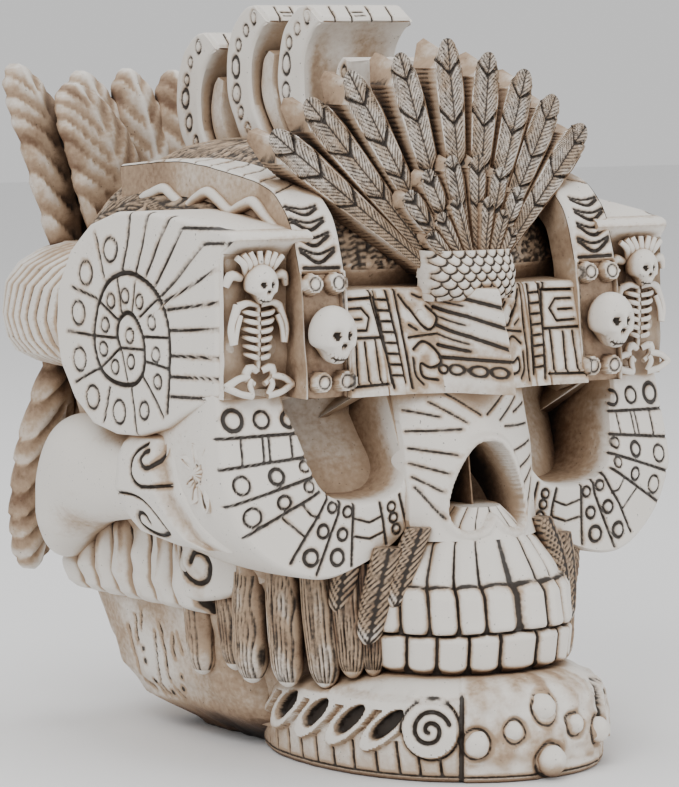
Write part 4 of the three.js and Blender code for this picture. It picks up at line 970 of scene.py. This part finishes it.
TIPS = [(0, -40.5, 174.6), (13.6, -39.5, 171.2), (26.8, -37, 166.8), (37.4, -35, 160.3), (47.2, -34.5, 152.6)]
fan = Piece("feather_fan")
order = [(-x, y, z) for x, y, z in TIPS[:0:-1]] + TIPS
for i, tip in enumerate(order):
    feather(fan, ((i - 4) * 2.3, -48.8 + abs(i - 4) * 0.3, 119), tip, (2.4, 9.8), 9.6, 116, 31, 4, seed=80 + i, notches=3)
fan.build()
low_fan = Piece("short_feathers")
for s in (-1, 1):
    for i in range(3):
        angle = s * (0.15 + i * 0.3)
        far = 27 - i
        feather(low_fan, ((s * (i + 0.5)) * 2, -52.3, 120), (math.sin(angle) * far, -47.8, 120 + math.cos(angle) * far), (1.9, 6.4), 4.8,
                58, 23, 3, seed=95 + i + 3 * (s > 0), notches=2)
        angle = s * (0.3 + i * 0.34)
        far = 17.5 - i
        feather(low_fan, ((s * (i + 0.6)) * 2.2, -53.8, 120), (math.sin(angle) * far, -51.2, 120 + math.cos(angle) * far), (1.9, 4.6), 4.2,
                40, 19, 3, seed=105 + i + 3 * (s > 0), notches=1)
low_fan.build()

# %% Scaled boss
t, v = np.meshgrid(np.linspace(-1, 1, 110), np.linspace(1.15, -1, 88))
x, z = 12.2 * t, 117.6 + 5.6 * v
cover = np.clip(1 - np.abs(t) ** 2.4 - 0.55 * np.clip(-v, 0, 1) ** 3, 0.02, 1)
y = -49.5 - 6.8 * cover ** 0.5 + 2.2 * smooth((z - 119) / 5)
scales = Carving(x, z)
lift = np.zeros(x.shape)
for row in range(7):
    for k in range(-4, 5):
        cx, cz = (k + 0.5 * (row % 2)) * 3.1, 124.0 - 1.85 * (6 - row)
        q = np.hypot((x - cx) / 1.62, (z - cz) / 1.75)
        ring = np.abs(q - 1.0) * 1.65 - 0.16
        scales.edge = np.where(q < 1, 9.0, scales.edge)
        scales.edge = np.where(q < 1.12, np.minimum(np.where(q < 1, 9.0, scales.edge), ring), scales.edge)
        lift = np.where(q < 1, 0.35 + 0.85 * np.sqrt(np.clip(1 - q ** 2, 0, 1)), lift)
boss = Piece("scaled_boss")
boss.add(np.stack([x, y - lift, z], -1), np.minimum(scales.edge, 3.0), 0.2 + 0.4 * (lift < 0.5), back=(0, 6, 0), mirror=False)
boss.build()
# %% [markdown]
# ## Crest
# Three curls stand one behind the other, each with a smaller curl inside it. A curl is swept along its own
# C: every ring of the sweep is a rectangle whose left and right sides are the carved faces. Rows of ovals
# run down those faces, and the blunt front end carries a few marks across.

# %% Curls
OUTER = [(-2.6, 182.7), (1.2, 182.0), (4.6, 179.8), (7.8, 176.3), (10.1, 170), (10.3, 163), (8.6, 157), (5.5, 152), (1.5, 145)]
INNER = [(-9.0, 178.4), (-6.4, 176.8), (-4.2, 174.7), (-2.4, 172.2), (-1.2, 168.6), (-0.9, 164.2), (-1.8, 158.6), (-4.6, 153.8), (-12, 144)]
crest = Piece("crest")

def curl(outer, inner, half, rows, across, wide, ovals=(), wash_and_shade=0.08, seed=0):
    """A curl from its tip to its root. Each ring: left face from outer to inner, inner face, right
    face back, outer face; edge and wash ride along, with painted shade on the inner face."""
    o, i = through(outer, rows), through(inner, rows)
    w = np.linspace(0, 1, across)
    xs = np.linspace(-half, half, wide)[1:-1]
    f = np.r_[w, np.ones(wide - 2), w[::-1], np.zeros(wide - 2)]
    x = np.r_[np.full(across, -half), xs, np.full(across, half), xs[::-1]]
    face = np.r_[np.ones(across, bool), np.zeros(wide - 2, bool), np.ones(across, bool), np.zeros(wide - 2, bool)]
    F, X = np.broadcast_to(f, (rows, len(f))), np.broadcast_to(x, (rows, len(f)))
    YZ = o[:, None] * (1 - F[..., None]) + i[:, None] * F[..., None]
    c = Carving(YZ[..., 0], YZ[..., 1])
    for at, r, tall, line in ovals:
        q = np.hypot(c.a - at[0], (c.b - at[1]) / tall)
        c.cut(np.abs(q - r), line, 0.5, face)
        c.rise += face * 0.25 * smooth(1.2 - q / r)
    rim = smooth((F - 0.93) / 0.07) + smooth((0.07 - F) / 0.07)
    X = X + np.sign(X) * np.where(face, c.lift - 0.7 * rim + 0.12 * rough(c.a, c.b, 6, seed), 0)
    inner_face, outer_face = (F > 0.999) & ~face, (F < 0.001) & ~face
    bow = 1 - (X / half) ** 2
    Y = YZ[..., 0] + np.where(inner_face, 1.1 * bow, 0)
    run = np.linspace(0, 1, rows)[:, None]
    stain = rough(X, c.b, 10, seed + 1)
    # Faces: the wash, darker towards the root. Inner face, the concave front of the C: painted shade, darker towards
    # the root. Outer face: light with stains.
    tone = np.where(face, wash_and_shade + 0.12 * smooth(stain) + 0.5 * smooth((run - 0.86) / 0.14),
                    np.where(inner_face, 0.45 + 0.75 * smooth(run * 1.5) + 0.2 * stain, 0.2 + 0.2 * smooth(stain)))
    crest.add(np.stack([X, Y, YZ[..., 1]], -1), np.where(face, c.edge, 3.0), tone, around=True, mirror=False)

def strip(y0, z0, y1, z1, half, marks, seed):
    """The blunt front end: a thin sheet with cross lines and pairs of short bars."""
    x, v = np.meshgrid(np.linspace(-half, half, 144), np.linspace(0, 1, 20))
    c = Carving(x, v * math.hypot(y1 - y0, z1 - z0))
    for at in marks[0]:
        c.line([(at - 0.5, 0), (at + 0.6, 6)], 0.22, 0.5)
    for at in marks[1]:
        for h in (1.5, 3.1):
            c.line([(at, h), (at + 3.0, h)], 0.24, 0.5)
    corner = smooth((np.abs(x) - half + 1.3) / 1.3) ** 2 * 1.2 + (smooth((0.14 - v) / 0.14) + smooth((v - 0.86) / 0.14)) * 0.5
    n = np.array([z0 - z1, y1 - y0]) / math.hypot(y1 - y0, z1 - z0)
    out = 0.75 - corner + c.lift + 0.08 * rough(x, c.b, 7, seed)
    P = np.stack([x, y0 + (y1 - y0) * v + n[0] * out, z0 + (z1 - z0) * v + n[1] * out], -1)
    crest.add(P, c.edge, 0.06 + 0.15 * smooth(rough(x, c.b, 6, seed + 1)), back=(0, 3, -1.0), mirror=False)

OVALS = [
    [((-3.1, 179.7), 1.25, 1.35, 0.2), ((1.3, 176.8), 1.2, 1.3, 0.13), ((4.9, 173.3), 1.2, 1.35, 0.2), ((6.2, 168.0), 1.75, 1.5, 0.3),
     ((6.3, 161.3), 1.55, 1.35, 0.24), ((4.3, 155.8), 1.1, 1.3, 0.16)],
    [((-2.8, 179.5), 1.2, 1.4, 0.22), ((0.9, 176.3), 1.15, 1.3, 0.2), ((4.3, 172.6), 1.15, 1.3, 0.2), ((5.6, 167.0), 1.75, 1.5, 0.34),
     ((5.2, 160.3), 1.7, 1.4, 0.24), ((3.2, 155.4), 1.1, 1.4, 0.2), ((-0.2, 151.7), 0.95, 1.3, 0.16)],
    [((-0.6, 179.0), 1.15, 1.5, 0.2), ((3.4, 175.0), 1.0, 1.4, 0.2), ((5.3, 170.4), 1.1, 1.3, 0.22), ((5.9, 165.6), 1.5, 1.55, 0.34),
     ((4.2, 159.4), 1.35, 1.5, 0.3), ((0.8, 154.6), 1.0, 1.4, 0.24)]]
for k in range(3):
    dy, dz = 1.9 + 23.6 * k, -7.0 if k == 2 else 0.0
    move = lambda pts: [(y + dy, z + dz) for y, z in pts]
    curl(move(OUTER), move(INNER), 14.1, 108, 22, 8, [((y + dy, z + dz), r, t, w) for (y, z), r, t, w in OVALS[k]], seed=120 + 5 * k)
    strip(-8.9 + dy, 178.6 + dz, -3.2 + dy, 182.3 + dz, 13.9, (((-9.0, -3.9, 2.0, 8.2), (-2.9,)), ((-9.6, -4.8, 1.6, 7.6), (-8.4, -0.6)),
                                                               ((-9.4, 2.2, 8.0), (-1.4,)))[k], 140 + k)
    sy, sz = (dy, dz) if k else (dy - 9, dz - 1.5)
    low = [(y + sy, z + sz) for y, z in [(-4.6, 171.3), (-2.6, 169.4), (-1.4, 166), (-1.0, 162), (-3.2, 156), (-8, 149.7), (-12.5, 143.4)]]
    deep = [(y + sy, z + sz) for y, z in [(-7.4, 170.3), (-7.2, 168.6), (-6.9, 166), (-7.0, 162.2), (-9.2, 156.4), (-13.4, 150.2), (-18, 143.6)]]
    curl(low, deep, 10.8, 48, 12, 6, [((-5.4 + sy, 167.6 + sz), 0.95, 1.7, 0.2)] if k == 0 else (), wash_and_shade=0.4, seed=150 + 3 * k)
crest.build()
# %% [markdown]
# ## Flower, collar, bone and pleats
# On the side of the head a smooth bone comes out from under the ear block and bends down at the back. A
# scrolled collar holds its front end; a ragged flower sits before it. Under them hangs a row of heavy
# pleats with a white hem, and a plate with one curl hides the last of them.

# %% Bone
def loops(table, at, n):
    """Elliptic rings for the stations at: the table gives y, centre x, centre z, half width, half
    height, drop. The centres come down along the table, so that the bone bends down."""
    t = np.asarray(table, float)
    c = through(t, 200)
    c = c[np.argsort(c[:, 0], kind="stable")]
    y, x, z, w, h = (np.interp(at, c[:, 0], c[:, i])[:, None] for i in range(5))
    a = np.arange(n) / n * 2 * np.pi
    e = 0.9
    ca, sa = np.sign(np.cos(a)) * np.abs(np.cos(a)) ** e, np.sign(np.sin(a)) * np.abs(np.sin(a)) ** e
    return np.stack([x + w * ca, np.broadcast_to(y, (len(at), n)), z + h * sa], -1)

side = Piece("side_carving")
BONE = [(0, 56, 67.5, 10.6, 10.4), (10, 56, 67.6, 11.1, 11.2), (18, 56, 67.6, 11.5, 12.2), (27, 55.7, 67.2, 11.8, 13.4), (34, 55, 66, 12, 14.8),
        (41, 54.2, 63.4, 11.8, 16.4), (46, 53.5, 60.5, 11.4, 17), (50.5, 52, 57.8, 10.4, 15.2), (54, 50.6, 55.6, 8.6, 12), (56.3, 49.6, 54.6, 5.6, 7.6),
        (57, 49.4, 54.4, 2.2, 3.0)]
at = np.r_[np.linspace(0, 46, 24), np.linspace(46, 57, 18)[1:]]
P = loops(BONE, at, 64)
low = smooth((60 - P[..., 2]) / 14) * smooth((P[..., 1] - 14) / 20)
hollow = np.exp(-((P[..., 1] - 33) / 9) ** 2 - ((P[..., 2] - 53) / 5) ** 2)
P[..., 0] -= 1.6 * hollow * (P[..., 0] > 55)
P = lifted(P, 0.25 * rough(P[..., 1], P[..., 2], 22, 160) + 0.12 * rough(P[..., 1] * 0.5, P[..., 2] * 2, 9, 161), inside=(54, 25, 64), around=True)
grain = rough(P[..., 1] * 0.35, P[..., 2] * 2.0, 8, 162)
side.add(P, 3.0, 0.10 + 0.22 * smooth(grain) + 0.55 * hollow + 0.35 * smooth((3 - P[..., 1]) / 4) + 0.3 * smooth(1 - np.abs(P[..., 1] - 1) / 4), around=True)

# %% Collar and flower
v, u = np.meshgrid(np.linspace(0, 1, 70), np.linspace(0, 1, 92))
z = 80 - 26.8 * v
back_edge = np.interp(z, [53.2, 55.5, 60, 66, 72, 77, 80], [-12, 2, 5.6, 6.2, 5.4, 3.4, 0])
front_edge = np.interp(z, [53.2, 56, 62, 68, 74, 80], [-37, -35.5, -31.5, -28, -25.5, -23.5])
y = back_edge + (front_edge - back_edge) * u
collar = Carving(y, z)
body = np.interp(z, [53.2, 55, 58, 66, 74, 79, 80], [61.5, 63.6, 65.4, 68.6, 68.2, 66.4, 65])
wrap = 3.6 * (1 - smooth((y - back_edge + 5.5) / 5.5 * -1 + 1)) - 5.2 * smooth((u - 0.80) / 0.2)
round_back = -5.0 * (1 - np.sqrt(np.clip(1 - (1 - np.clip(u / 0.2, 0, 1)) ** 2, 0, 1)))
x = body + round_back - 2.2 * smooth((u - 0.62) / 0.1) * (1 - 0.4 * smooth((z - 70) / 10)) - 2.6 * smooth((u - 0.86) / 0.14)
scroll = through([(-18.4, 79.2), (-17.6, 75.6), (-14.6, 72.7), (-11.4, 72.0), (-9.7, 73.7), (-10.8, 75.6), (-12.2, 76)], 60)
outer_line = through([(-10.9, 77.6), (-7.2, 75.6), (-5.2, 72.2), (-5.6, 69.4), (-8.4, 67.6), (-12, 67.4), (-20.6, 68.4)], 60)
leaf_line = through([(3.4, 64.6), (-3, 65.0), (-9.6, 64.0), (-13.8, 60.6), (-16.4, 56.8)], 50)
second = through([(-16.0, 56.4), (-12.2, 55.4), (-7.6, 56.0), (-4.8, 57.9), (-5.6, 60.3), (-8.2, 60.2), (-9.2, 58.4)], 50)
for chain, wide, deep in ((scroll, 0.55, 1.0), (outer_line, 0.42, 0.9), (leaf_line, 0.30, 0.7), (second, 0.48, 0.9)):
    collar.cut(collar.away(chain), wide, deep)
inside = collar.away(scroll)
x = x + 0.5 * smooth(1 - inside / 2.2) + collar.lift + 0.1 * rough(y, z, 7, 165)
wash_and_shade = 0.06 + 0.75 * smooth(1 - np.abs(u - 0.74) / 0.16) + 0.2 * smooth(1 - u / 0.1) + 0.35 * smooth(1 - inside / 2.6) * smooth((u - 0.3) * 4) + 0.2 * smooth(rough(y, z, 9, 166))
side.add(np.stack([x, y, z], -1), collar.edge, wash_and_shade, back=(-9, 0, 0))

r0, a0 = np.meshgrid(np.linspace(0.02, 1, 29), np.linspace(0, 2 * np.pi, 104, endpoint=False), indexing="ij")
petal = np.abs(np.mod(a0 * 8 / (2 * np.pi) + 0.18 * np.sin(a0 * 2.2), 1) - 0.5) * 2
reach = (5.1 + 3.3 * (1 - petal) ** 0.8 + 0.9 * np.sin(3 * a0 + 0.6)) * (1 + 0.05 * np.sin(5 * a0))
rr = reach * np.minimum(r0 / 0.86, 1)
fy, fz = -33.3 + 0.92 * rr * np.cos(a0), 72.4 + 1.06 * rr * np.sin(a0)
flower = Carving(fy, fz)
vein = smooth(1 - np.abs(petal) / 0.25) * smooth((r0 - 0.3) / 0.1) * smooth((0.84 - r0) / 0.1)
height = 2.1 - 0.9 * r0 ** 2 + 0.7 * (1 - petal) * smooth((r0 - 0.3) / 0.3) - 0.9 * vein - 1.4 * smooth((petal - 0.72) / 0.28) * smooth((r0 - 0.3) / 0.3)
height = height + 1.4 * smooth(1 - r0 / 0.30) - 0.5 * smooth(1 - np.abs(r0 - 0.34) / 0.07)
height = np.where(r0 > 0.86, height - 5.5 * smooth((r0 - 0.86) / 0.14), height)
flower_edge = np.where(np.abs(r0 - 0.31) < 0.2, np.abs(r0 - 0.31) * 7 - 0.28, 3.0)
flower_edge = np.minimum(flower_edge, np.where((vein > 0.4), -0.05, 3.0))
side.add(np.stack([64.7 + height + 0.25 * rough(fy, fz, 4, 167), fy, fz], -1), flower_edge, 0.15 + 0.5 * smooth((r0 - 0.8) / 0.2) + 0.4 * vein + 0.35 * smooth((petal - 0.7) / 0.3), around=True)

# %% Pleats, curl plate and locks
def curtain(start, end, z, out, folds, n, crease=0.55, seed=0, sway=0.0, gap=0.3, lean=0.0):
    """A hanging wall from start to end: folds is the list of places, 0 to 1, where one fold meets the
    next. out gives, for every z, the base and the swell of a fold. Returns points, gap distance and the
    place within the fold."""
    d = np.array([end[0] - start[0], end[1] - start[1]], float)
    length = np.hypot(*d)
    d /= length
    side_n = np.array([-d[1], d[0]]) * (1 if -d[1] > 0 else -1)
    T, Z = np.meshgrid(np.linspace(0, 1, n), z)
    U = T + sway * rough(Z, Z * 0 + 3, 30, seed) * 0.02 + lean * (Z - z[0]) / 100
    g = np.asarray(folds, float)
    k = np.clip(np.searchsorted(g, U) - 1, 0, len(g) - 2)
    width = g[k + 1] - g[k]
    q = (U - g[k]) / width * 2 - 1
    base, swell = np.interp(Z, *np.array(out)[:, :2].T[::1]), np.interp(Z, np.array(out)[:, 0], np.array(out)[:, 2])
    bulge = np.sqrt(np.clip(1 - np.abs(q) ** 2.2, 0, 1)) ** crease
    off = base + swell * bulge
    P = np.stack([start[0] + d[0] * length * T + side_n[0] * off, start[1] + d[1] * length * T + side_n[1] * off, Z], -1)
    return P, (1 - np.abs(q)) * width * length / 2, q, k, side_n

FOLDS = [0, 0.13, 0.26, 0.40, 0.54, 0.69, 0.85, 1]
hem = lambda k: 33.8 + 0.25 * k
z = np.r_[np.linspace(33.2, 36, 14), np.linspace(36, 61, 30)[1:]]
P, gap, q, k, n = curtain((46.4, 56.3), (47.4, -6.5), z, [(33.2, -3.5, 1.5), (34.2, -1.2, 3.0), (36, -0.4, 4.6), (41, 0.6, 5.2), (50, 1.4, 3.6), (61, 2, 2)],
                          FOLDS, 152, 0.9, 170, 0.6)
low_end = hem(k) + 1.6 * np.abs(q) ** 2.5
P[..., 2] = np.maximum(P[..., 2], 0) + 0.0
streak = rough(P[..., 1] * 1.6, P[..., 2] * 0.25, 6, 171)
P[..., 0] += (0.45 * streak * smooth((P[..., 2] - 36) / 4) + 0.35 * rough(P[..., 1], P[..., 2], 5, 172)) * n[0]
P[..., 0] -= 1.6 * smooth((low_end - P[..., 2]) / 1.4)
soft_gap = gap - 0.35 - 0.5 * smooth((P[..., 2] - 46) / 12)
wash_and_shade = 0.12 + 0.9 * smooth((P[..., 2] - 46 + 4 * streak) / 12) + 0.75 * smooth(1 - gap / 2.0) + 0.35 * smooth(streak)
side.add(P, soft_gap, wash_and_shade, back=(-9, 0, 0))

v, u = np.meshgrid(np.linspace(0, 1, 36), np.linspace(0, 1, 72))
y = -2 - 31 * u
z = (59 - 5.5 * u) + ((37.6 + 7.5 * smooth(u * 1.1 - 0.15)) - (59 - 5.5 * u)) * v
plate = Carving(y, z)
x = np.interp(y, [-33, -24, -14, -4, 0], [39.6, 44.6, 50.6, 54.0, 53.4]) - 0.17 * (58 - z) * smooth((58 - z) / 9) * 0.6
spiral = through([(-6.2, 47.4), (-7.6, 49.8), (-10.4, 49.6), (-11.8, 46.9), (-10.8, 43.4), (-8.2, 42.2), (-5.2, 43.6), (-3.2, 47), (-3.4, 50.6)], 60)
plate.cut(plate.away(spiral), 0.6, 1.1)
x = x + plate.lift + 0.3 * rough(y, z, 9, 173) - 1.4 * smooth((v - 0.93) / 0.07) ** 2
side.add(np.stack([x, y, z], -1), plate.edge, 0.15 + 0.6 * smooth(1 - v * 2.2) + 0.5 * smooth(u * 2 - 0.9) + 0.3 * smooth(rough(y, z, 8, 174)), back=(-10, 0, 0))
side.build()

# %% Locks of hair
locks = Piece("locks")
def lock(top, bottom, wide, thick, seed, lean=0.0, dark=0.0, feathered=False):
    """One hanging lock: a flattened tapering bar with a rounded end and hair lines that spread from
    its middle."""
    n, m = (30, 46) if feathered else (54, 26)
    t = np.sin(np.linspace(0, np.pi / 2, m))     # rings close up towards the rounded end
    top, bottom = np.asarray(top, float), np.asarray(bottom, float)
    mid = (top + bottom) / 2 + np.array([bottom[0] - top[0], 0, 0]) * 0.1
    even = through([top, mid, bottom], 60)
    spine = np.stack([np.interp(t, np.linspace(0, 1, 60), c) for c in even.T], 1)
    tip = np.sqrt(np.clip(1 - (np.clip((t - 0.82) / 0.18, 0, 1)) ** 2, 0.0004, 1))
    w = wide * (0.72 + 0.28 * np.sin(np.pi * np.clip(t * 0.75 + 0.2, 0, 1))) * tip
    out = np.array([spine[0, 0], spine[0, 1] + 20, 0.0])
    out /= np.linalg.norm(out)
    across = np.array([-out[1], out[0], 0])
    a = np.arange(n) / n * 2 * np.pi
    W, A = np.broadcast_to(w[:, None], (m, n)), np.broadcast_to(a, (m, n))
    off = W * np.cos(A)
    c = Carving(off, np.broadcast_to(t[:, None] * np.linalg.norm(top - bottom), (m, n)))
    L = np.linalg.norm(top - bottom)
    if feathered:
        barbs(c, c.b, c.a + 0.3, 2.0, -1.3, 0.24, 0.35)
    else:
        fan_lines = np.abs(np.mod(c.a / np.maximum(W, 0.4) * 4.2 + 0.5 * rough(c.b, c.a, 9, seed), 1) - 0.5) * np.maximum(W, 0.3) / 4.2
        c.cut(fan_lines, 0.15, 0.4, (c.b > 2) & (c.b < L - 1.4))
        c.cut(np.abs(c.a - 0.2 * rough(c.b, c.b * 0, 8, seed)), 0.24, 0.6, c.b < L * 0.75)
    up = thick * (w / wide)[:, None] * np.sin(A)
    lift = c.lift * (np.sin(A) > -0.2)
    P = spine[:, None] + across * off[..., None] + out * (up + lift)[..., None]
    P[..., 2] += 1.0 * lean * np.cos(A) * smooth((t[:, None] - 0.7) / 0.3)
    ragged = rough(c.a * 2, c.b, 8, seed + 1)
    end = smooth((t[:, None] - 0.62 - 0.06 * ragged) / 0.25)
    wash_and_shade = 0.15 + dark + 0.95 * (1 - end) * smooth(0.6 + 0.6 * ragged) + 0.25 * smooth(1 - np.abs(c.a) / 0.9) * (1 - end)
    locks.add(P, c.edge, wash_and_shade, around=True)

# dark adds painted shade to the locks that sit back among the others and under the cheek.
lock((44, 2.0, 48), (44.6, -0.6, 18.2), 5.6, 4.4, 180)
lock((43, -9.0, 48), (42.6, -12.2, 20.6), 4.2, 3.8, 183, dark=0.2)
lock((42.6, -18.6, 49), (43.0, -20.2, 18.6), 5.0, 4.6, 186)
lock((39.8, -28.4, 50), (40.0, -31.4, 18.8), 4.8, 4.4, 189)
lock((36.0, -37, 50), (35.4, -40.8, 19.4), 4.6, 4.2, 192)
lock((32.6, -44, 50), (31.6, -46.4, 22.2), 4.0, 3.6, 195, dark=0.55)
lock((28.5, -47.8, 50), (27.6, -49.4, 22.6), 3.4, 3.0, 198, dark=0.7)
lock((18.2, -54.6, 58.5), (25.2, -54.3, 39.6), 3.4, 3.2, 201, feathered=True)
lock((25.6, -52.6, 54), (29.6, -49.6, 30.4), 3.9, 3.5, 204, feathered=True)
lock((33, -47, 52), (34.6, -44.6, 38), 3.2, 2.8, 207, feathered=True, dark=0.3)
locks.build()
# %% [markdown]
# ## Plumes and the band that ties them
# Behind the crest tall plumes stand in a row. A soft shaft runs up each, and its vane is broken into
# overlapping tufts, so the carving is coarse and worn. A wide wrinkled band ties them, and below it
# shorter plumes hang down the back of the head.

# %% Standing and hanging plumes
plumes = Piece("plumes")
def plume(base, mid, tip, wide, thick, seed, up=True, folds=7):
    """A leaf-shaped bar bent through three points. q runs from -1 to 1 over its vane; tufts are slanting
    waves whose crests swell outwards."""
    m, n = 60, 39
    t = np.linspace(0, 1, m)
    spine = through([base, mid, tip], m)
    shape = np.interp(t, [0, 0.15, 0.45, 0.75, 0.9, 0.97, 1], [0.5, 0.74, 1, 0.92, 0.66, 0.36, 0.06])
    turn = math.atan2(-base[0], 90)
    across = np.array([math.cos(turn), math.sin(turn), 0])
    out = np.array([-across[1], across[0], 0])
    a = np.arange(n) / n * 2 * np.pi
    A = np.broadcast_to(a, (m, n))
    q = np.cos(A)
    W, T = shape[:, None] * wide / 2, np.broadcast_to(t[:, None], (m, n))
    L = np.linalg.norm(np.diff(spine, axis=0), axis=1).sum()
    c = Carving(W * q, T * L)
    shaft = np.abs(c.a)
    f = (c.b - 1.15 * shaft * (1 if up else 1)) / (L / folds) + 0.15 * rough(c.a, c.b, 14, seed)
    saw = np.mod(f, 1)
    tuft = smooth(saw / 0.75) * (1 - smooth((saw - 0.86) / 0.14))
    stem = smooth(1 - shaft / 1.2)
    lift = 0.9 * tuft * smooth(shaft / 1.5) * smooth((1 - np.abs(q)) / 0.1) + 0.9 * stem
    side_s = np.sign(np.sin(A)) * np.abs(np.sin(A)) ** 0.8
    up_y = thick / 2 * shape[:, None] ** 0.5 * side_s + np.sign(np.sin(A)) * lift * smooth(np.abs(np.sin(A)) * 3)
    P = spine[:, None] + across * c.a[..., None] * (1 + 0.03 * np.sin(f * 6.28) * (np.abs(q) > 0.9))[..., None] + out * up_y[..., None]
    ragged = rough(c.a * 1.4, c.b * 0.8, 10, seed + 4)
    # The vane takes the wash plus painted shade between the tufts, where each tuft falls back under the next. It is
    # darker towards the base, the tips are lighter, and the shaft stays light.
    wash_and_shade = 0.15 + (0.4 + 0.6 * (1 - tuft)) * (1 - stem) + 0.5 * smooth(ragged) + 0.35 * smooth((0.35 - T) / 0.35) - 0.2 * smooth((T - 0.86) / 0.1)
    plumes.add(P, 3.0, wash_and_shade, around=True, mirror=bool(base[0] != 0))

for i, (x, y, z, wide) in enumerate(((0, 84, 166, 17), (14.7, 84.5, 166.5, 17), (29.5, 83, 166, 19), (39, 72, 163, 25), (52, 79, 168, 20))):
    plume((x * 0.78, y - 20 + x * 0.12, 112), (x * 0.86, y - 9, 142), (x * 0.98, min(y, 83.4), z - 0.3), wide * 1.08, 6.4, 210 + 7 * i)
for i, (x, y) in enumerate(((0, 72), (18, 73), (36, 72), (52, 70))):
    plume((x * 0.85, y - 5, 96), (x * 0.95, y - 1, 68), (x * 1.03, y - 1, 37.4), 19, 8.6, 250 + 7 * i, up=False, folds=8)
plumes.build()

# %% Wrinkled band
z = np.r_[np.linspace(90.6, 97, 9), np.linspace(97, 116, 20)[1:], np.linspace(116, 122.4, 9)[1:]]
P = stack([(90.5, 50, 0, 71.5, 4), (92, 56, 0, 78, 4), (94.5, 60.4, 0, 82.4, 4), (98, 62.2, 0, 84, 4), (104, 63, 0, 85.2, 4), (112, 62.4, 0, 84.6, 4),
           (117, 59.5, 0, 81.8, 4), (120.5, 55, 0, 77.5, 4), (122.4, 50, 0, 72, 4)], z, 520)
run = np.broadcast_to(np.r_[0, np.cumsum(np.hypot(*(np.diff(P[len(P) // 2, :, :2], axis=0)).T))], P.shape[:2])
tie = Carving(run, P[..., 2])
bend = 7 * np.sin((tie.b - 90) / 32 * np.pi) + 2.2 * rough(run, tie.b, 40, 301) + 1.2 * rough(run, tie.b, 17, 302)
f = (run + bend) / 4.6 + 0.35 * np.sin(run / 9)
saw = np.mod(f, 1)
ridge = np.sqrt(np.clip(1 - (2 * saw - 1) ** 2, 0, 1))
tie.cut(np.minimum(saw, 1 - saw) * 4.6, 0.28 + 0.12 * rough(run, tie.b, 20, 303), 0.6)
P = lifted(P, 1.35 * ridge - 1.2 - tie.deep * 0.6, inside=(0, 40, 106), around=True)
wash_and_shade = 0.22 + 0.65 * (1 - ridge) + 0.35 * smooth(rough(run, tie.b, 15, 304)) + 0.45 * smooth((95 - P[..., 2]) / 5) + 0.3 * smooth((P[..., 2] - 118) / 4)
wrap = Piece("wrinkled_band")
wrap.add(P, tie.edge, wash_and_shade, around=True, mirror=False)
wrap.build()
